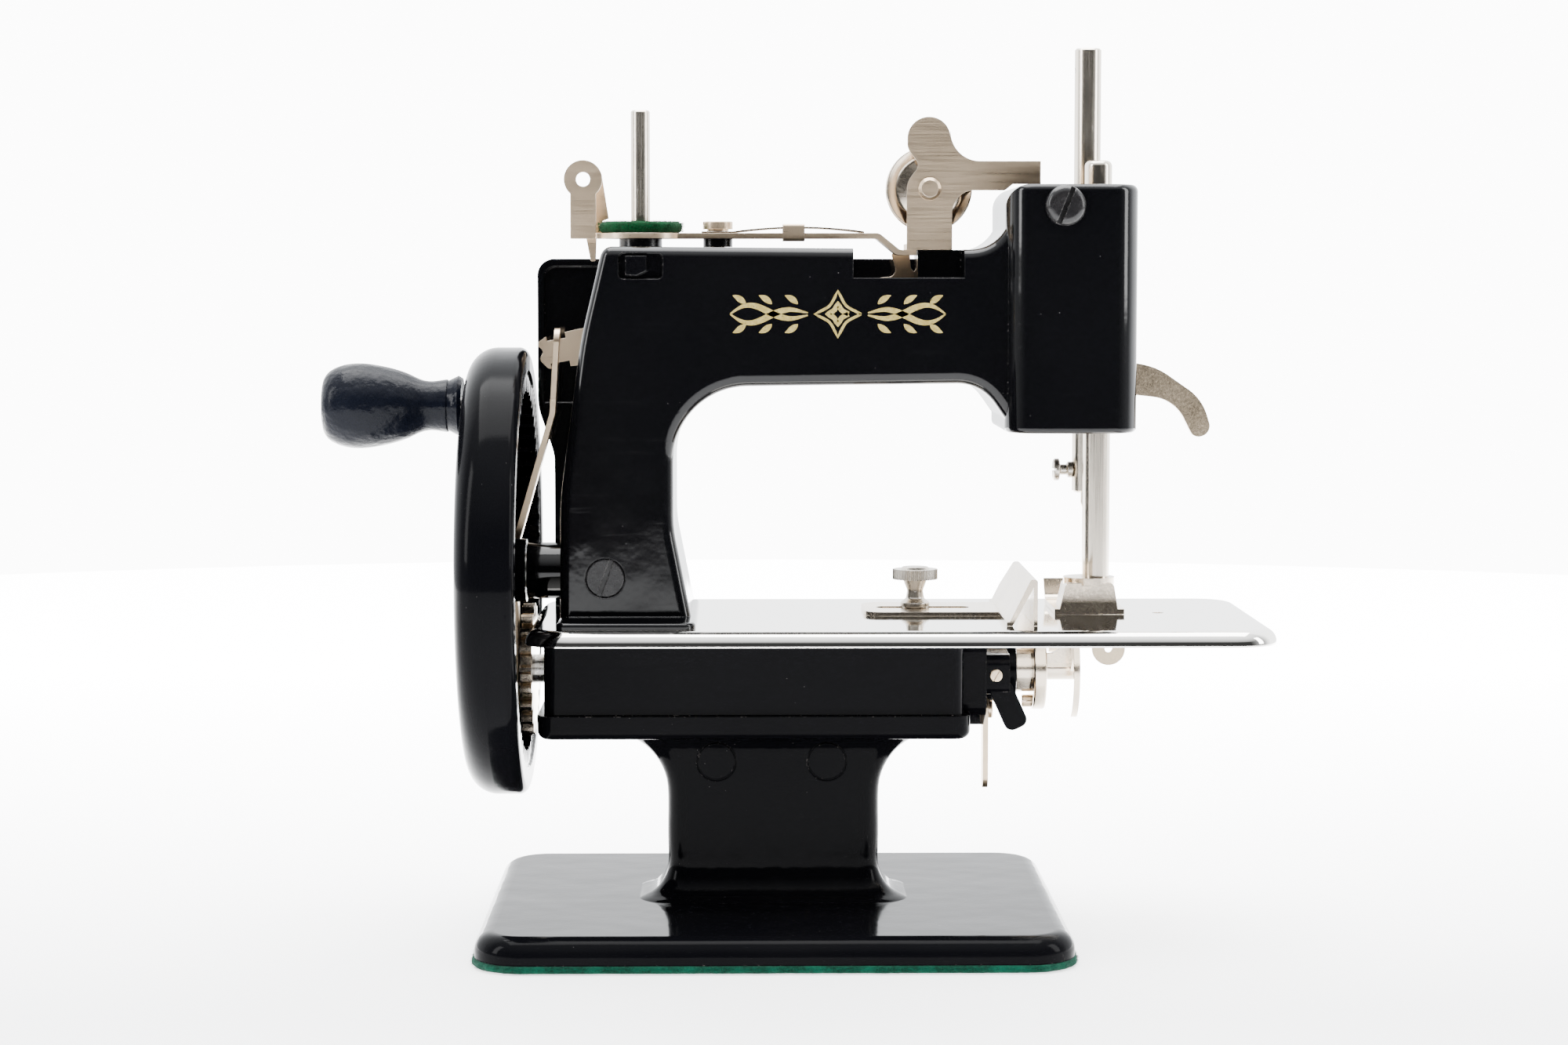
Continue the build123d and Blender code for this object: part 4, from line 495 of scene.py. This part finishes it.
def spool_felt(material):
    """The felt washer on the spool pin, soft-edged and a little dished."""
    low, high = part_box("spool_felt")
    middle = (low + high) / 2
    outer = (high.x - low.x) / 2
    pin_low, pin_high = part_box("spool_pin")
    bore = (pin_high.x - pin_low.x) / 2 + 0.12 * MM
    bottom, top = low.z + 0.02 * MM, high.z
    half = (top - bottom) / 2
    # The section as (radius, height), from the bore's foot, out below, round and back above.
    section = [(bore, bottom + 0.2 * MM), (bore + 0.3 * MM, bottom), (outer * 0.6, bottom),
               (outer - 0.7 * MM, bottom), (outer - 0.15 * MM, bottom + 0.35 * half),
               (outer, bottom + half), (outer - 0.15 * MM, top - 0.35 * half),
               (outer - 0.75 * MM, top - 0.02 * MM), (outer * 0.8, top), (outer * 0.6, top - 0.05 * MM),
               (outer * 0.42, top - 0.1 * MM), (bore + 0.35 * MM, top - 0.15 * MM),
               (bore, top - 0.45 * MM)]
    sides = 260
    points, faces = [], []
    for side in range(sides):
        angle = 2 * math.pi * side / sides
        for radius, height in section:
            x, y = radius * math.cos(angle), radius * math.sin(angle)
            loose = min(1.0, max(0.0, (radius - bore) / (2 * MM)))
            radial = ripple(x, y, height, 2.2 * MM, 0.22 * MM) * loose
            upper = 1.0 if height > bottom + half * 0.8 else 0.0
            lift = (ripple(x, y, 3 * MM, 1.6 * MM, 0.16 * MM) - 0.08 * MM) * upper * loose
            scale = 1 + (radial - 0.05 * MM * loose) / radius
            points.append((middle.x + x * scale, middle.y + y * scale, height + lift))
    count = len(section)
    for side in range(sides):
        a, b = side * count, (side + 1) % sides * count
        for index in range(count):
            after = (index + 1) % count
            faces.append((a + index, b + index, b + after, a + after))
    washer = mesh_object("spool_felt_washer", points, faces)
    washer.data.materials.append(material)
    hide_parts("spool_felt")
    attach(washer, "frame")

    draw = random.Random(77)
    hair_points, hair_faces = [], []
    for index in range(SPOOL_FIBRES):
        angle = draw.uniform(0, 2 * math.pi)
        ray = Vector((math.cos(angle), math.sin(angle), 0))
        if index % 2:
            radius = outer - 0.1 * MM
            height = draw.uniform(bottom + 0.25 * MM, top - 0.2 * MM)
            out = ray
        else:
            radius = math.sqrt(draw.uniform((bore + 0.4 * MM) ** 2, (outer - 0.3 * MM) ** 2))
            height = top - 0.12 * MM
            out = Vector((0, 0, 0.45))
        lean = Vector((draw.uniform(-1, 1), draw.uniform(-1, 1), draw.uniform(-0.3, 0.3)))
        root = Vector((middle.x, middle.y, height)) + ray * radius
        fibre(hair_points, hair_faces, root, (out + lean * 0.8).normalized(),
              draw.uniform(0.3, 0.75) * MM, draw)
    fuzz = mesh_object("spool_felt_fuzz", hair_points, hair_faces)
    fuzz.data.materials.append(material)
    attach(fuzz, "frame")


# ---------------------------------------------------------------- gold ornament on the arm

def ribbon(points, faces, route, widths, y):
    """A flat stroke in the arm's front face, following route with its own width at each point."""
    first = len(points)
    last = len(route) - 1
    for index, (x, z) in enumerate(route):
        before, after = route[max(index - 1, 0)], route[min(index + 1, last)]
        along = Vector((after[0] - before[0], 0, after[1] - before[1])).normalized()
        across = Vector((-along.z, 0, along.x)) * widths[index] / 2
        points.append((x - across.x, y, z - across.z))
        points.append((x + across.x, y, z + across.z))
    for index in range(last):
        a = first + 2 * index
        faces.append((a, a + 2, a + 3, a + 1))


def gold_ornament(material):
    """A plain scroll of leaves either side of a lozenge, where such machines carry a transfer."""
    pin_low, pin_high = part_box("lever_pivot_pin")
    centre_x, centre_z = pin_low.x + 14.8 * MM, (pin_low.z + pin_high.z) / 2 + 0.2 * MM
    y = ARM_FACE_Y - 0.03 * MM
    points, faces = [], []
    steps = 40
    for side in (1, -1):
        for level in (1, -1):
            route, widths = [], []
            for step in range(steps + 1):
                t = step / steps
                angle = 3.6 * math.pi * (1 - t)
                curl = 2.2 * MM * (1 - 0.75 * (1 - t)) if t > 0.25 else 1.0 * MM * (0.4 + 2.4 * t)
                x = (6.0 + 15.5 * t) * MM
                z = level * curl * math.sin(angle * 0.5)
                route.append((centre_x + side * x, centre_z + z))
                widths.append((0.28 + 1.0 * math.sin(math.pi * t)) * MM)
            ribbon(points, faces, route, widths, y)
    for side in (1, -1):
        for number in range(3):
            root_x = centre_x + side * (8.0 + 5.2 * number) * MM
            for level in (1, -1):
                route, widths = [], []
                for step in range(13):
                    t = step / 12
                    route.append((root_x + side * 2.6 * t * MM,
                                  centre_z + level * (2.0 + 2.6 * t - 0.9 * t * t) * MM))
                    widths.append((0.10 + 1.15 * math.sin(math.pi * t ** 0.8)) * MM)
                ribbon(points, faces, route, widths, y)
    for size, width in ((4.6, 0.55), (2.1, 1.0)):
        corners = [(size, 0), (0, size), (-size, 0), (0, -size), (size, 0)]
        route = []
        for (x0, z0), (x1, z1) in zip(corners, corners[1:]):
            for step in range(8):
                t = step / 8
                pull = 1 - 0.28 * math.sin(math.pi * t)
                route.append((centre_x + (x0 + (x1 - x0) * t) * pull * MM,
                              centre_z + (z0 + (z1 - z0) * t) * pull * MM))
        route.append(route[0])
        ribbon(points, faces, route, [width * MM] * len(route), y)
    made = mesh_object("gold_ornament", points, faces, smooth=False)
    made.data.materials.append(material)
    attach(made, "frame")


place_camera()
light_the_room()
make_floor()
softbox("top_light", (0.0, 0.10, 0.95), (0, 0, 0.05), (0.9, 0.7), 24.0)
softbox("left_light", (-0.75, -0.30, 0.42), (-0.02, 0, 0.09), (0.16, 0.60), 5.0)
softbox("right_light", (0.80, -0.22, 0.40), (0.03, 0, 0.09), (0.20, 0.60), 5.5)
materials = make_materials()
dress_nodes(materials)
base_felt(materials["felt_base"])
spool_felt(materials["felt_spool"])
gold_ornament(materials["gilt"])
